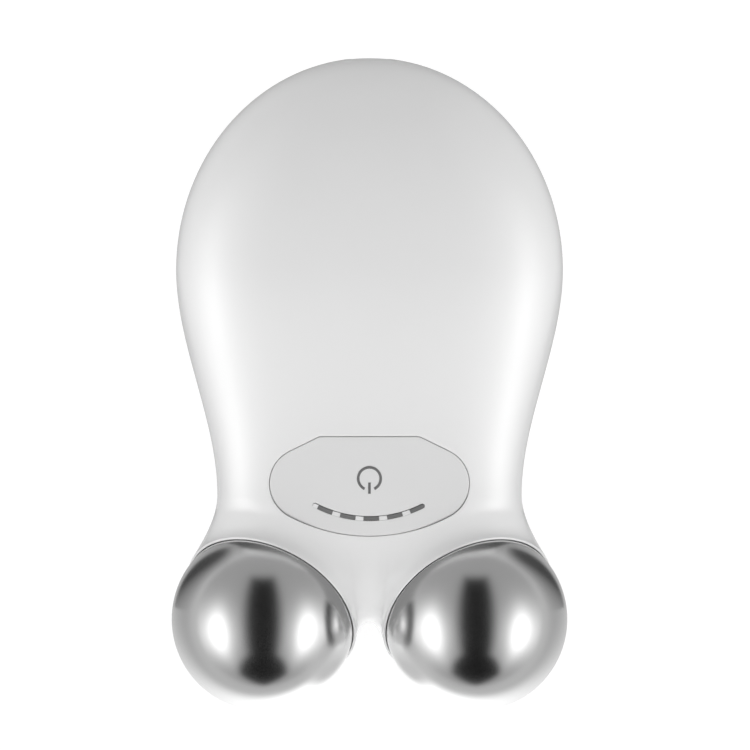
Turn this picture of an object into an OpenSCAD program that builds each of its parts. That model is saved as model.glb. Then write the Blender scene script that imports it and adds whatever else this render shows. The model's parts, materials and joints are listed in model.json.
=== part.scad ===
// Facial toning device: a white palm grip with one control key and two chromed sphere electrodes.
// Millimetres. The device lies on its back: +Z leaves its front face, +Y points to the palm end,
// the spheres are at -Y, and the origin is on the ground under the middle of its length and width.

/* [Palm grip] */
// Length from the palm end to the far side of the spheres
overall_len = 114.1; // [108:0.1:124]
// Width of the palm at its widest line
palm_w = 67.6; // [64:0.1:76]
// Distance from the widest line to the palm end
palm_end = 37.1; // [34:0.1:42]
// Height of the front face above the seam at the palm
front_h = 17; // [15.5:0.1:20]
// Depth of the back below the seam at the palm
rear_h = 18; // [17:0.1:21]
// Height of the palm's back above the ground
foot_stand = 1; // [0.6:0.1:2]
// Fullness of the front's cross-section
front_n = 3; // [2.6:0.1:3.4]
// Fullness of the back's cross-section
rear_n = 2.8; // [2.4:0.1:3.2]
// Fullness of the palm end in side view
end_n = 2.4; // [2.1:0.1:2.8]
// Wall thickness of both shells
wall = 2; // [1.6:0.1:2.4]

/* [Neck] */
// Width of the neck at its narrowest line
neck_w = 53.2; // [50:0.1:58]
// Distance from the neck's narrowest line to the line through the sphere centres
neck_from_ball = 21.65; // [20:0.1:24]
// Height of the front face above the seam at the neck
neck_front_h = 11.7; // [11:0.1:13]
// How much shallower the back is at the neck than at the palm
neck_rise = 2; // [1.5:0.1:2.5]
// How far the web between the collars reaches past the line through the sphere centres
web_drop = 0.6; // [0:0.1:3]
// Fullness of the web's arch
web_n = 2.1; // [1.9:0.1:2.8]

/* [Spheres and collars] */
// Diameter of each sphere
ball_d = 32; // [30:0.1:34]
// Gap between the two spheres
ball_gap = 5.1; // [4:0.1:8]
// Wall thickness of a sphere
ball_wall = 1.2; // [1:0.1:1.6]
// Angle by which each collar turns away from the middle
splay = 31.5; // [26:0.5:36]
// Angle by which each collar tips up towards the front
tilt = 40.5; // [36:0.5:44]
// Distance of the collar's edge behind the sphere's centre
rim_back = 3.2; // [2.6:0.1:4]
// Gap between the sphere and the collar
collar_gap = 0.5; // [0.3:0.05:0.8]
// Thickness of the collar's edge
collar_lip = 0.65; // [0.5:0.05:1]
// Distance of the sphere's open back behind its centre
ball_cut = 5.6; // [5:0.1:6.2]
// Thickness of the plate that closes the sphere
back_plate_t = 1.6; // [1.2:0.1:2]
// Height of the boss on that plate, which leaves room for the seal
back_boss_h = 1.8; // [1.5:0.1:2.2]
// Radius of that boss
back_boss_r = 4; // [3:0.1:5]
// Radius of the socket plate that carries a sphere
socket_r = 13; // [12.4:0.1:13.2]
// Thickness of the socket plate
socket_t = 2; // [1.6:0.1:2.4]
// Thickness of the seal ring
seal_t = 1.7; // [1.4:0.05:1.75]
// Radius of the seal ring, to the middle of its section
seal_r = 10.8; // [9:0.1:11]
// Thread radius of the screw that holds a sphere
ball_screw_r = 1.5; // [1.25:0.05:1.75]

/* [Control key] */
// Width of the key
key_w = 34.6; // [32:0.1:36]
// Length of the key
key_len = 17.2; // [16.4:0.1:18]
// Distance from the neck's narrowest line to the key's upper edge
key_from_neck = 10.3; // [9.6:0.1:11]
// Half the length of the key's straight upper edge
key_flat = 8.2; // [7.4:0.1:8.8]
// Radius of the key's upper corners
key_corner_r = 2; // [1.5:0.1:3]
// Radius of the key's ends
key_side_r = 6.3; // [5.6:0.1:6.8]
// Radius of the key's lower edge
key_low_r = 29.8; // [26:0.1:34]
// Gap between the key and the front shell
key_gap = 0.15; // [0.1:0.01:0.3]
// How far the key goes down
key_travel = 0.5; // [0.3:0.05:0.7]
// Thickness of the key's face
key_t = 1.8; // [1.5:0.1:2.1]
// Thickness of the key's skirt
key_skirt = 1.2; // [1:0.1:1.4]
// How far the key's flange reaches under the front shell
key_flange = 0.9; // [0.6:0.1:1.2]
// Thickness of the key's flange at its thinnest
key_flange_t = 1; // [0.8:0.1:1.2]
// Distance from the key's upper edge to the middle of the power symbol
symbol_from_edge = 7.3; // [6.5:0.1:8]
// Outer radius of the power symbol's ring
symbol_r = 2.2; // [1.8:0.05:2.6]
// Line width of the power symbol
symbol_line = 0.48; // [0.4:0.02:0.6]
// Depth of the power symbol's inlay
symbol_t = 0.3; // [0.2:0.05:0.5]
// Radius of the arc that the light strip follows
strip_r = 20.6; // [19:0.1:22]
// Distance from the key's lower edge to the lowest point of that arc
strip_from_edge = 2.95; // [2.8:0.05:3.4]
// Width of the light strip
strip_w = 0.72; // [0.6:0.02:0.9]
// Number of indicator windows on the strip
windows = 5; // [3:1:5]
// Angle covered by one window
window_a = 7.5; // [6:0.5:8]
// Angle from one window to the next
window_pitch = 11.45; // [10.5:0.05:12]
// Thickness of the windows
window_t = 0.5; // [0.3:0.05:0.8]

/* [Main board] */
// Half the board's width
board_w2 = 13; // [12.6:0.1:13.4]
// Distance from the key's upper edge to the board's upper end
board_up = 31; // [30:0.5:33]
// Distance from the key's lower edge to the board's lower end, inside the key's outline
board_low = 1.4; // [1.2:0.1:2]
// Thickness of the board
board_t = 1.2; // [1:0.1:1.4]
// Room between the board and the key's flange when the key is pressed
board_room = 1.3; // [1.1:0.1:1.6]
// Thread radius of the board screws
board_screw_r = 1; // [0.8:0.05:1.1]
// Width of the power switch
switch_w = 6.2; // [5.6:0.1:6.6]
// Height of the power switch's body
switch_h = 3; // [2.6:0.1:3.2]
// Radius of the power switch's plunger
plunger_r = 1.7; // [1.4:0.05:2]
// Running clearance around the plunger
plunger_gap = 0.05; // [0.03:0.01:0.08]
// Height of the light baffle above the board
baffle_h = 3; // [2.6:0.1:3.2]
// Thickness of the light baffle, across the arc
baffle_w = 2.3; // [2.1:0.1:2.5]
// Width of one light-emitting diode
led_w = 1.2; // [1:0.1:1.4]

/* [Battery] */
// Radius of the cell
cell_r = 7; // [6.6:0.1:7.2]
// Length of the cell
cell_len = 49; // [46:0.5:50]
// Gap between the cell and the charging jack
cell_gap = 4.5; // [4.3:0.1:5.5]
// Height of the cradle's floor above the ground
cradle_z = 5.6; // [5.4:0.1:5.9]
// Thickness of the cradle's floor and ends
cradle_t = 1.2; // [1:0.1:1.5]

/* [Charging port] */
// Radius of the port's bore
port_r = 2.6; // [2.2:0.05:2.9]
// Length of the port's bore
port_len = 3; // [2.6:0.1:3.2]
// Radius of the port ring
port_ring_r = 4.2; // [4:0.05:4.6]
// Side of the charging jack's square body
jack_w = 6.5; // [6:0.1:7]
// Length of the charging jack's body
jack_len = 9; // [8:0.1:9.5]

/* [Screws and feet] */
// Thread radius of the housing screws
case_screw_r = 1.2; // [1:0.05:1.3]
// Head radius of the housing screws
case_head_r = 2.3; // [2:0.05:2.5]
// Height of the housing screws' heads above the ground
case_head_z = 6; // [5.6:0.1:6.4]
// X of the two screws at the palm
palm_screw_x = 16; // [15.5:0.1:17]
// Y of the two screws at the palm
palm_screw_y = 36; // [35:0.5:37]
// X of the two screws above the neck
waist_screw_x = 19; // [18.5:0.1:19.5]
// Y of the two screws above the neck
waist_screw_y = -1; // [-2:0.5:0]
// Radius of a foot
foot_r = 4.2; // [3.6:0.1:4.4]
// Height of a foot
foot_h = 4.2; // [4:0.1:4.4]
// X of the two feet under the palm
palm_foot_x = 15; // [14:0.5:16]
// Y of the two feet under the palm
palm_foot_y = 24; // [22:0.5:25]
// X of the two feet under the neck
neck_foot_x = 10; // [9:0.5:11]
// Y of the two feet under the neck
neck_foot_y = -17; // [-18:0.5:-16]

/* [Hidden] */

// Resolution of the lofted skin: divisions of a quarter ring, of half the web's arch, and rows
ring_q = 14;
arch_q = 6;
cap_rows = 10;
flank_rows = 8;
leg_rows = 7;
// Angle, seen along a collar's axis, at which the neck's ring meets the web's arch
corner_t = 130;
// Angle at which the legs' first direction starts to turn towards their own side
turn_t = 50;
// Between these two angles a leg's pull along its collar's axis fades to that of the upper inner side,
// which keeps the web between the collars flat
fade_t = [60, 130];
inner_pull = 0.35;

fit = 0.05;        // clearance between pieces that are pushed together
loose = 0.15;      // clearance around a screw's shank or a dropped-in piece
far = 200;         // longer than the device

white = [0.92, 0.92, 0.93];
pale = [0.88, 0.88, 0.9];
smoke = [0.25, 0.25, 0.27];
chrome = [0.75, 0.76, 0.78];
steel = [0.6, 0.6, 0.62];
brass = [0.75, 0.62, 0.3];
board_green = [0.1, 0.35, 0.2];
chip_black = [0.12, 0.12, 0.13];
rubber = [0.3, 0.3, 0.32];
lead_red = [0.7, 0.12, 0.1];
lead_white = [0.85, 0.85, 0.82];

function mix(a, b, t) = a + (b - a) * t;
function smooth(t) = t * t * (3 - 2 * t);
function unit(v) = v / norm(v);
function flip(v) = [-v[0], v[1], v[2]];

ball_r = ball_d / 2;
ball_x = ball_r + ball_gap / 2;
ball_y = ball_r - overall_len / 2;
palm_y = overall_len / 2 - palm_end;
neck_y = ball_y + neck_from_ball;
neck_rear_h = rear_h - neck_rise;
web_y = ball_y - web_drop;
seam_z = rear_h + foot_stand;
// Unit vector from a collar out through the right sphere
ball_axis = [sin(splay) * cos(tilt), -cos(splay) * cos(tilt), sin(tilt)];
ball_c = [ball_x, ball_y, seam_z + rim_back * ball_axis[2]];
rim_c = ball_c - rim_back * ball_axis;
cavity_r = ball_r + collar_gap;
rim_r = sqrt(pow(cavity_r, 2) - pow(rim_back, 2)) + collar_lip;
rim_side = [cos(splay), sin(splay), 0];
rim_top = cross(ball_axis, rim_side);

// ---- The outer form: a lofted palm and neck that fork into two collars -------------------------

// A superellipse's sine or cosine: e is its fullness, 2 is an ellipse
function full(v, e) = sign(v) * pow(abs(v), 2 / e);

// One point of a cross-section: size is [half width, height above the seam, depth below it]
function ring_pt(size, y, a) =
  let (up = sin(a) >= 0, e = up ? front_n : rear_n)
  [size[0] * full(cos(a), e), y, seam_z + (up ? size[1] : size[2]) * full(sin(a), e)];

// Section sizes between the widest line (t = 0) and the neck (t = 1), and around the palm end
function flank_size(t, inset) =
  [mix(palm_w, neck_w, smooth(t)) / 2 - inset,
   mix(front_h, neck_front_h, smooth(t)) - inset,
   mix(rear_h, neck_rear_h, smooth(t)) - inset];
function cap_size(a, inset) =
  let (side = pow(1 - pow(sin(a), end_n), 1 / end_n))
  [(palm_w / 2 - inset) * cos(a), (front_h - inset) * side, (rear_h - inset) * side];

function neck_pt(inset, a) = ring_pt(flank_size(1, inset), neck_y, a);
function arch_pt(inset, b) =
  [0, neck_y - (neck_y - web_y - inset) * full(cos(b), web_n),
   seam_z + ((b >= 0 ? neck_front_h : neck_rear_h) - inset) * full(sin(b), web_n)];
function rim_pt(inset, t) = rim_c + (rim_r - inset) * (cos(t) * rim_side + sin(t) * rim_top);

// A leg starts on a loop of half the neck's ring and the whole arch, and ends on the collar's rim
loop_n = 2 * ring_q + 2 * arch_q;
function on_ring(k) = k <= 2 * ring_q;
function ring_a(k) = -90 + 90 * k / ring_q;
function arch_b(k) = 90 - 90 * (k - 2 * ring_q) / arch_q;
function loop_t(k) = on_ring(k) ? corner_t * ring_a(k) / 90 : 180 - (180 - corner_t) * arch_b(k) / 90;
function loop_pt(inset, k) = on_ring(k) ? neck_pt(inset, ring_a(k)) : arch_pt(inset, arch_b(k));

// Unit vector in which the leg leaves its loop: along the flank, or square to the web's arch
step_a = 0.5;
function arch_dir(inset, b) =
  b == 0 ? [0, -1, 0] : unit(arch_pt(inset, b - sign(b) * step_a) - arch_pt(inset, b + sign(b) * step_a));
function ring_dir(inset, a) =
  a == 0 ? [0, 0, 1]
         : unit(neck_pt(inset, a - sign(a) * step_a) - neck_pt(inset, sign(a) * min(90, abs(a) + step_a)));
function start_dir(inset, k) =
  let (t = loop_t(k), away = t > 180 ? 360 - t : abs(t),
       turn = 90 * smooth(max(0, (away - turn_t) / (180 - turn_t))),
       along = on_ring(k) ? [0, -1, 0] : arch_dir(inset, arch_b(k)),
       across = on_ring(k) ? ring_dir(inset, ring_a(k)) : [1, 0, 0])
  unit(cos(turn) * along + sin(turn) * across);

function inner_part(t) =
  smooth(max(0, min(1, t <= 180 ? (t - fade_t[0]) / (fade_t[1] - fade_t[0])
                                : (360 - corner_t - t) / (180 - corner_t))));

// Cubic curve from the loop (v = 0) to the rim (v = 1)
function leg_pt(inset, k, v) =
  let (a = loop_pt(inset, k), b = rim_pt(inset, loop_t(k)), m = norm(b - a),
       pull = m * mix(1, inner_pull, inner_part(loop_t(k))),
       v2 = v * v, v3 = v2 * v)
  (2 * v3 - 3 * v2 + 1) * a + (v3 - 2 * v2 + v) * m * start_dir(inset, k)
  + (3 * v2 - 2 * v3) * b + (v3 - v2) * pull * ball_axis;

function band(a, b) =
  [for (i = [0:len(a) - 1]) let (j = (i + 1) % len(a)) each [[a[i], b[j], a[j]], [a[i], b[i], b[j]]]];
function turned(faces) = [for (f = faces) [f[0], f[2], f[1]]];

// The closed outer form, or the same form shrunk by inset
module skin(inset) {
  ring_n = 4 * ring_q;
  cap_rings = [for (i = [1:cap_rows]) let (a = 90 * (1 - i / cap_rows))
    [for (k = [0:ring_n - 1])
      ring_pt(cap_size(a, inset), palm_y + (palm_end - inset) * sin(a), ring_a(k))]];
  flank_rings = [for (i = [1:flank_rows]) let (t = i / flank_rows)
    [for (k = [0:ring_n - 1]) ring_pt(flank_size(t, inset), mix(palm_y, neck_y, t), ring_a(k))]];
  rings = concat(cap_rings, flank_rings);
  arch = [for (k = [2 * ring_q + 1:loop_n - 1]) arch_pt(inset, arch_b(k))];
  leg = [for (i = [1:leg_rows]) each [for (k = [0:loop_n - 1]) leg_pt(inset, k, i / leg_rows)]];

  arch_0 = 1 + len(rings) * ring_n;
  right_0 = arch_0 + len(arch);
  left_0 = right_0 + len(leg);
  ring = function (i) [for (k = [0:ring_n - 1]) 1 + i * ring_n + k];
  neck = ring(len(rings) - 1);
  fork = function (mirrored) [for (k = [0:loop_n - 1])
    on_ring(k) ? neck[mirrored ? (ring_n - k) % ring_n : k] : arch_0 + k - 2 * ring_q - 1];
  leg_row = function (base, i) [for (k = [0:loop_n - 1]) base + i * loop_n + k];
  leg_faces = function (base, mirrored) concat(
    band(fork(mirrored), leg_row(base, 0)),
    [for (i = [1:leg_rows - 1]) each band(leg_row(base, i - 1), leg_row(base, i))]);
  right_end = leg_row(right_0, leg_rows - 1);

  polyhedron(
    points = concat([[0, palm_y + palm_end - inset, seam_z]], [for (r = rings) each r],
                    arch, leg, [for (p = leg) flip(p)]),
    faces = concat(
      [for (k = [0:ring_n - 1]) [0, 1 + k, 1 + (k + 1) % ring_n]],
      [for (i = [1:len(rings) - 1]) each band(ring(i - 1), ring(i))],
      leg_faces(right_0, false), turned(leg_faces(left_0, true)),
      [[for (k = [loop_n - 1:-1:0]) right_end[k]], leg_row(left_0, leg_rows - 1)]),
    convexity = 8);
}

// Height of the front face on the middle line, and beside it between the palm and the neck
function flank_t(y) = (palm_y - y) / (palm_y - neck_y);
function front_z(x, y) =
  let (size = flank_size(flank_t(y), 0))
  seam_z + size[1] * pow(1 - pow(abs(x) / size[0], front_n), 1 / front_n);
function web_z(y) =
  seam_z + neck_front_h * pow(1 - pow((neck_y - y) / (neck_y - web_y), web_n), 1 / web_n);

module above_seam() translate([-far / 2, -far / 2, seam_z]) cube(far);
module below_seam() translate([-far / 2, -far / 2, seam_z - far]) cube(far);

// Puts children on both sides of the middle plane
module both_sides() for (m = [0, 1]) mirror([m, 0, 0]) children();
module on_side(left) mirror([left ? 1 : 0, 0, 0]) children();
// Frame of the right sphere: its origin is the sphere's centre and +Z points back into the neck
module sphere_frame() translate(ball_c) rotate([-(90 + tilt), 0, splay]) children();

module cylinder_between(r, z0, z1, n = 48) translate([0, 0, z0]) cylinder(r = r, h = z1 - z0, $fn = n);
// A flat ring about Z, from z0 to z1
module washer(r_in, r_out, z0, z1, n = 64)
  translate([0, 0, z0]) difference() {
    cylinder(r = r_out, h = z1 - z0, $fn = n);
    translate([0, 0, -1]) cylinder(r = r_in, h = z1 - z0 + 2, $fn = n);
  }

// ---- Levels inside the device ------------------------------------------------------------------

key_top_y = neck_y + key_from_neck;
key_low_y = key_top_y - key_len;
key_mid_y = (key_top_y + key_low_y) / 2;
// Centres of the arcs of the key's outline; an end's arc touches the lower edge's arc from inside
key_end_x = key_w / 2 - key_side_r;
key_low_c = key_low_y + key_low_r;
key_end_y = key_low_c - sqrt(pow(key_low_r - key_side_r, 2) - pow(key_end_x, 2));
key_corner_y = key_top_y - key_corner_r;
key_join_low = atan2(key_end_y - key_low_c, key_end_x);
key_corner_gap = norm([key_end_x - key_flat, key_end_y - key_corner_y]);
key_join_top = atan2(key_end_y - key_corner_y, key_end_x - key_flat) + 90
               + asin((key_side_r - key_corner_r) / key_corner_gap);

// The key's face is part of a cylinder that follows the front face
crown_top_z = front_z(0, key_top_y);
crown_low_z = web_z(key_low_y);
crown_tilt = atan2(crown_top_z - crown_low_z, key_len);
function crown_z(y) = mix(crown_low_z, crown_top_z, (y - key_low_y) / key_len);
crown_drop = crown_z(key_end_y) - front_z(key_w / 2, key_end_y);
crown_r = (pow(key_w / 2, 2) + pow(crown_drop, 2)) / (2 * crown_drop);
function crown_edge_z(x, y) = crown_z(y) - crown_r + sqrt(pow(crown_r, 2) - pow(x, 2));

flange_sink = wall + 2 * loose;
key_base_z = crown_edge_z(key_w / 2 + key_flange, key_end_y) - flange_sink - key_flange_t;
board_top_z = key_base_z - key_travel - board_room;
board_bottom_z = board_top_z - board_t;
board_high_y = key_top_y + board_up;
board_low_y = key_low_y + board_low;

switch_y = key_top_y - symbol_from_edge;
switch_top_z = board_top_z + switch_h;
plunger_top_z = switch_top_z + key_travel + 0.3;
plunger_low_z = switch_top_z - 1.5;
strip_y = key_low_y + strip_from_edge + strip_r;
strip_cap_a = 2.6;   // light part of the strip past the first window
strip_shift = 0.9;   // turn of the strip about its arc's centre, which makes room for that part

board_boss_x = board_w2 - 2.5;
board_boss_y = [key_top_y + 4.2, board_high_y - 3];
board_boss_r = 2.4;
board_head_r = 1.9;
board_post = [board_w2 - 1.7, neck_y, 2];

column_r = 4;        // rear shell's screw columns
pillar_r = 3.1;      // front shell's screw pillars
case_head_h = 1.6;
case_bite = 8;       // length of a housing screw in its pillar
board_bite = 4.5;    // length of a board screw in its boss
cap_h = 1.5;
foot_wall = 1.2;     // material round and over a foot's pocket

port_face_y = overall_len / 2;
port_step_y = port_face_y - port_len;
port_flange_r = port_ring_r + 1.2;
port_flange_y = port_face_y - 3.8;
port_back_y = port_flange_y - 1.2;
port_slope = 0.45;
nose_r = port_r + 0.4;
jack_face_y = port_back_y - fit;
jack_back_y = jack_face_y - jack_len;

cell_z = cradle_z + cradle_t + loose + cell_r;
cell_y1 = jack_back_y - cell_gap;
cell_y0 = cell_y1 - cell_len;
cell_y = (cell_y0 + cell_y1) / 2;
cradle_w2 = cell_r + loose + cradle_t;
tab_t = 0.3;
cradle_ear_r = 3;
cradle_ear = [cradle_w2 + cradle_ear_r, cell_y - 6];
cradle_screw_r = 1;
cradle_head_r = 1.9;

// Levels behind a sphere's centre, in its own frame
back_step = ball_cut - back_plate_t;
back_seat_r = sqrt(pow(ball_r - ball_wall, 2) - pow(back_step, 2)) + 0.25;
socket_z = ball_cut + back_boss_h;
socket_end = socket_z + socket_t;
terminal_t = 0.6;
ball_head_z = socket_end + terminal_t;
ball_head_h = 1.8;
ball_head_r = 2.75;
ledge_r = socket_r - 0.8;
ledge_t = 0.8;
terminal_r = 3.2;
crimp_r = 1;
crimp_len = 3.4;

// ---- Shells ------------------------------------------------------------------------------------

function arc(c, r, a0, a1, n = 8) = [for (i = [0:n]) let (a = mix(a0, a1, i / n)) c + r * [cos(a), sin(a)]];

// Outline of the key grown by d, right half from the lower edge's middle to the upper edge's middle
function key_half(d) = concat(
  arc([0, key_low_c], key_low_r + d, -90, key_join_low),
  arc([key_end_x, key_end_y], key_side_r + d, key_join_low, key_join_top, 14),
  arc([key_flat, key_corner_y], key_corner_r + d, key_join_top, 90, 4));
module key_outline(d = 0) {
  right = key_half(d);
  left = [for (i = [len(right) - 1:-1:1]) [-right[i][0], right[i][1]]];
  polygon(concat(right, left));
}
module key_prism(d, z0, z1) translate([0, 0, z0]) linear_extrude(z1 - z0) key_outline(d);

// Room for the sphere, as far back as the first ledge
module ball_cavities() both_sides() sphere_frame() intersection() {
  sphere(cavity_r, $fn = 60);
  cylinder_between(cavity_r + 1, -cavity_r - 1, socket_z - fit - ledge_t);
}

// Seat of the socket plate's edge, cut into the shells where they come close to it
module socket_grooves() both_sides() sphere_frame()
  cylinder_between(socket_r + fit, socket_z - fit, socket_end + fit, 72);

// Ledges inside a collar that clamp the socket plate's edge from both sides
module socket_ledges() both_sides() sphere_frame() {
  washer(ledge_r, cavity_r + 1, socket_z - fit - ledge_t, socket_z - fit, 40);
  washer(ledge_r, cavity_r + 1, socket_end + fit, socket_end + fit + ledge_t, 40);
}

// A triangular web between a pillar and the shell behind it
module gusset(x, y, angle, r, reach, z_thin, z_wide)
  translate([x, y, 0]) rotate([0, 0, angle]) hull() {
    translate([0, 0, min(z_thin, z_wide)]) cylinder(r = 0.6, h = abs(z_wide - z_thin), $fn = 8);
    translate([r + reach, 0, z_wide > z_thin ? z_wide - 0.5 : z_wide]) cylinder(r = 0.5, h = 0.5, $fn = 8);
  }

module case_screw_places() both_sides() {
  translate([palm_screw_x, palm_screw_y, 0]) children();
  translate([waist_screw_x, waist_screw_y, 0]) children();
}
module board_screw_places() both_sides() for (y = board_boss_y) translate([board_boss_x, y, 0]) children();
module cradle_ear_places() both_sides() translate([cradle_ear[0], cradle_ear[1], 0]) children();
module foot_places() both_sides() {
  translate([palm_foot_x, palm_foot_y, 0]) children();
  translate([neck_foot_x, neck_foot_y, 0]) children();
}

module port_hole() translate([0, port_face_y - 12, seam_z]) rotate([-90, 0, 0])
  cylinder(r = port_ring_r + fit, h = 20, $fn = 48);

module front_shell() {
  roof_z = seam_z + front_h;
  color(white) intersection() {
    above_seam();
    difference() {
      union() {
        difference() {
          skin(0);
          skin(wall);
        }
        intersection() {
          skin(wall / 2);
          union() {
            case_screw_places() translate([0, 0, seam_z]) cylinder(r = pillar_r, h = far, $fn = 28);
            board_screw_places() translate([0, 0, board_top_z]) cylinder(r = board_boss_r, h = far, $fn = 24);
            both_sides() for (y = board_boss_y, a = [-90, 90])
              gusset(board_boss_x, y, a, board_boss_r, 2.4, board_top_z + 3, roof_z);
            socket_ledges();
          }
        }
      }
      ball_cavities();
      socket_grooves();
      key_prism(key_gap, board_top_z, roof_z + 1);
      port_hole();
      case_screw_places() cylinder_between(case_screw_r + fit, seam_z - 1, seam_z + case_bite + 0.5, 20);
      board_screw_places()
        cylinder_between(board_screw_r + fit, board_top_z - 1, board_top_z + board_bite + 0.5, 16);
      below_key_clear();
    }
  }
}

// Room for the key's flange under the opening, over its whole travel
module below_key_clear() intersection() {
  key_prism(key_flange + 2 * loose, seam_z, seam_z + front_h);
  crown(wall);
}

module rear_shell() {
  color(white) intersection() {
    below_seam();
    difference() {
      union() {
        difference() {
          skin(0);
          skin(wall);
        }
        intersection() {
          skin(wall / 2);
          union() {
            case_screw_places() cylinder(r = column_r, h = seam_z, $fn = 32);
            both_sides() for (a = [-90, 90]) {
              gusset(palm_screw_x, palm_screw_y, a, column_r, 3, seam_z - 4, 2);
              gusset(waist_screw_x, waist_screw_y, a, column_r, 3, seam_z - 4, 2);
            }
            both_sides() gusset(board_post[0], board_post[1], 90, board_post[2], 3, seam_z - 5, 2);
            foot_places() cylinder(r = foot_r + foot_wall, h = foot_h + foot_wall, $fn = 40);
            cradle_ear_places() cylinder(r = cradle_ear_r, h = cradle_z, $fn = 28);
            jack_rest();
            socket_ledges();
          }
        }
      }
      ball_cavities();
      socket_grooves();
      port_hole();
      case_screw_places() {
        cylinder_between(case_head_r + loose, -1, case_head_z + case_head_h, 28);
        cylinder_between(case_screw_r + loose, 0, far, 20);
      }
      foot_places() translate([0, 0, -1]) cylinder(r = foot_r + fit, h = foot_h + 1, $fn = 40);
      cradle_ear_places() cylinder_between(cradle_screw_r + fit, cradle_z - 1.5, cradle_z + 1, 16);
    }
  }
  // Two posts reach past the seam and carry the board under the key
  color(white) intersection() {
    skin(wall / 2);
    both_sides() translate([board_post[0], board_post[1], 0])
      cylinder(r = board_post[2], h = board_bottom_z - fit, $fn = 24);
  }
}

// Saddle under the charging jack
module jack_rest() {
  rest_y = jack_back_y + jack_len / 2;
  rest_t = 1.2;
  translate([-jack_w / 2 - rest_t, rest_y, 0]) difference() {
    cube([jack_w + 2 * rest_t, jack_face_y - 1 - rest_y, seam_z]);
    translate([rest_t - fit, -1, seam_z - jack_w / 2 - fit]) cube([jack_w + 2 * fit, jack_len, jack_w]);
  }
}

// ---- Control key -------------------------------------------------------------------------------

// Everything under the key's crowned face, sunk by the given depth
module crown(sink) translate([0, key_mid_y, crown_z(key_mid_y)]) rotate([crown_tilt, 0, 0])
  translate([0, 0, -crown_r]) rotate([90, 0, 0])
    cylinder(r = crown_r - sink, h = 3 * key_len, center = true, $fn = 180);

// The part of the children that lies between two depths under the key's face
module crown_layer(z_top, z_bottom) difference() {
  intersection() {
    children();
    crown(z_top);
  }
  crown(z_bottom);
}

// A piece of the light strip's arc, seen from above, from angle a0 to a1 about straight down
module strip_arc(w, a0, a1) polygon(concat(
  arc([0, strip_y], strip_r - w / 2, a0 - 90, a1 - 90, 12),
  arc([0, strip_y], strip_r + w / 2, a1 - 90, a0 - 90, 12)));
function window_a0(i) = (i - (windows - 1) / 2) * window_pitch - window_a / 2 + strip_shift;
module window_shapes(d = 0) for (i = [0:windows - 1])
  strip_arc(strip_w + 2 * d, window_a0(i) - 0.1 * sign(d), window_a0(i) + window_a + 0.1 * sign(d));
module strip_shape(d = 0) {
  a0 = window_a0(0) - strip_cap_a;
  a1 = window_a0(windows - 1) + window_a;
  strip_arc(strip_w + 2 * d, a0 - 0.1 * sign(d), a1 + 0.1 * sign(d));
}

module symbol_ring(d = 0) {
  gap_a = 26;
  polygon(concat(
    arc([0, switch_y], symbol_r + d, -90 + gap_a, 270 - gap_a, 40),
    arc([0, switch_y], symbol_r - symbol_line - d, 270 - gap_a, -90 + gap_a, 40)));
}
module symbol_bar(d = 0) translate([-symbol_line / 2 - d, switch_y - symbol_r - symbol_line - d])
  square([symbol_line + 2 * d, symbol_r - 0.2 + 2 * d]);
module upright() translate([0, 0, board_top_z]) linear_extrude(far / 4) children();

module control_key() color(pale) {
  z_top = crown_top_z + 1;
  difference() {
    union() {
      intersection() {
        key_prism(0, key_base_z, z_top);
        crown(0);
      }
      intersection() {
        key_prism(key_flange, key_base_z, z_top);
        crown(flange_sink);
      }
    }
    intersection() {
      key_prism(-key_skirt, key_base_z - 1, z_top);
      crown(key_t);
    }
    upright() strip_shape(fit / 2);
    crown_layer(-1, symbol_t + fit / 2) upright() symbol_ring(fit / 2);
    crown_layer(-1, symbol_t + fit / 2) upright() symbol_bar(fit / 2);
  }
  // Stem that meets the switch's plunger
  intersection() {
    translate([0, switch_y, plunger_top_z + fit]) cylinder(r = plunger_r + 0.5, h = 10, $fn = 32);
    crown(key_t - 0.1);
  }
}

module power_symbol() color(smoke) crown_layer(0, symbol_t) {
  upright() symbol_ring();
  upright() symbol_bar();
}

module light_strip() color(pale) difference() {
  crown_layer(0, key_t) upright() strip_shape();
  crown_layer(-1, window_t + fit / 2) upright() window_shapes(fit);
}

module indicator_windows() color(smoke) crown_layer(0, window_t) upright() window_shapes();

// ---- Spheres -----------------------------------------------------------------------------------

module sphere_shell() color(chrome) sphere_frame() rotate_extrude($fn = 96) {
  difference() {
    circle(ball_r, $fn = 96);
    circle(ball_r - ball_wall, $fn = 96);
    translate([-2 * ball_r, -2 * ball_r]) square([2 * ball_r, 4 * ball_r]);
    translate([0, ball_cut]) square(2 * ball_r);
    translate([0, back_step]) square([back_seat_r, ball_r]);
  }
}

module sphere_back() color(smoke) sphere_frame() difference() {
  union() {
    translate([0, 0, back_step]) cylinder(r = back_seat_r - fit, h = back_plate_t, $fn = 96);
    cylinder_between(back_boss_r, ball_cut - 0.2, socket_z);
    cylinder_between(back_boss_r, back_step - 2, back_step + 0.2);
  }
  cylinder_between(ball_screw_r + fit, back_step - 1, socket_z + 1);
}

module sphere_seal() color(rubber) sphere_frame() translate([0, 0, (ball_cut + socket_z) / 2])
  rotate_extrude($fn = 72) translate([seal_r, 0]) circle(seal_t / 2, $fn = 24);

module socket() color(white) sphere_frame() difference() {
  cylinder_between(socket_r, socket_z, socket_end, 72);
  cylinder_between(ball_screw_r + loose, socket_z - 1, socket_end + 1);
}

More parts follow.
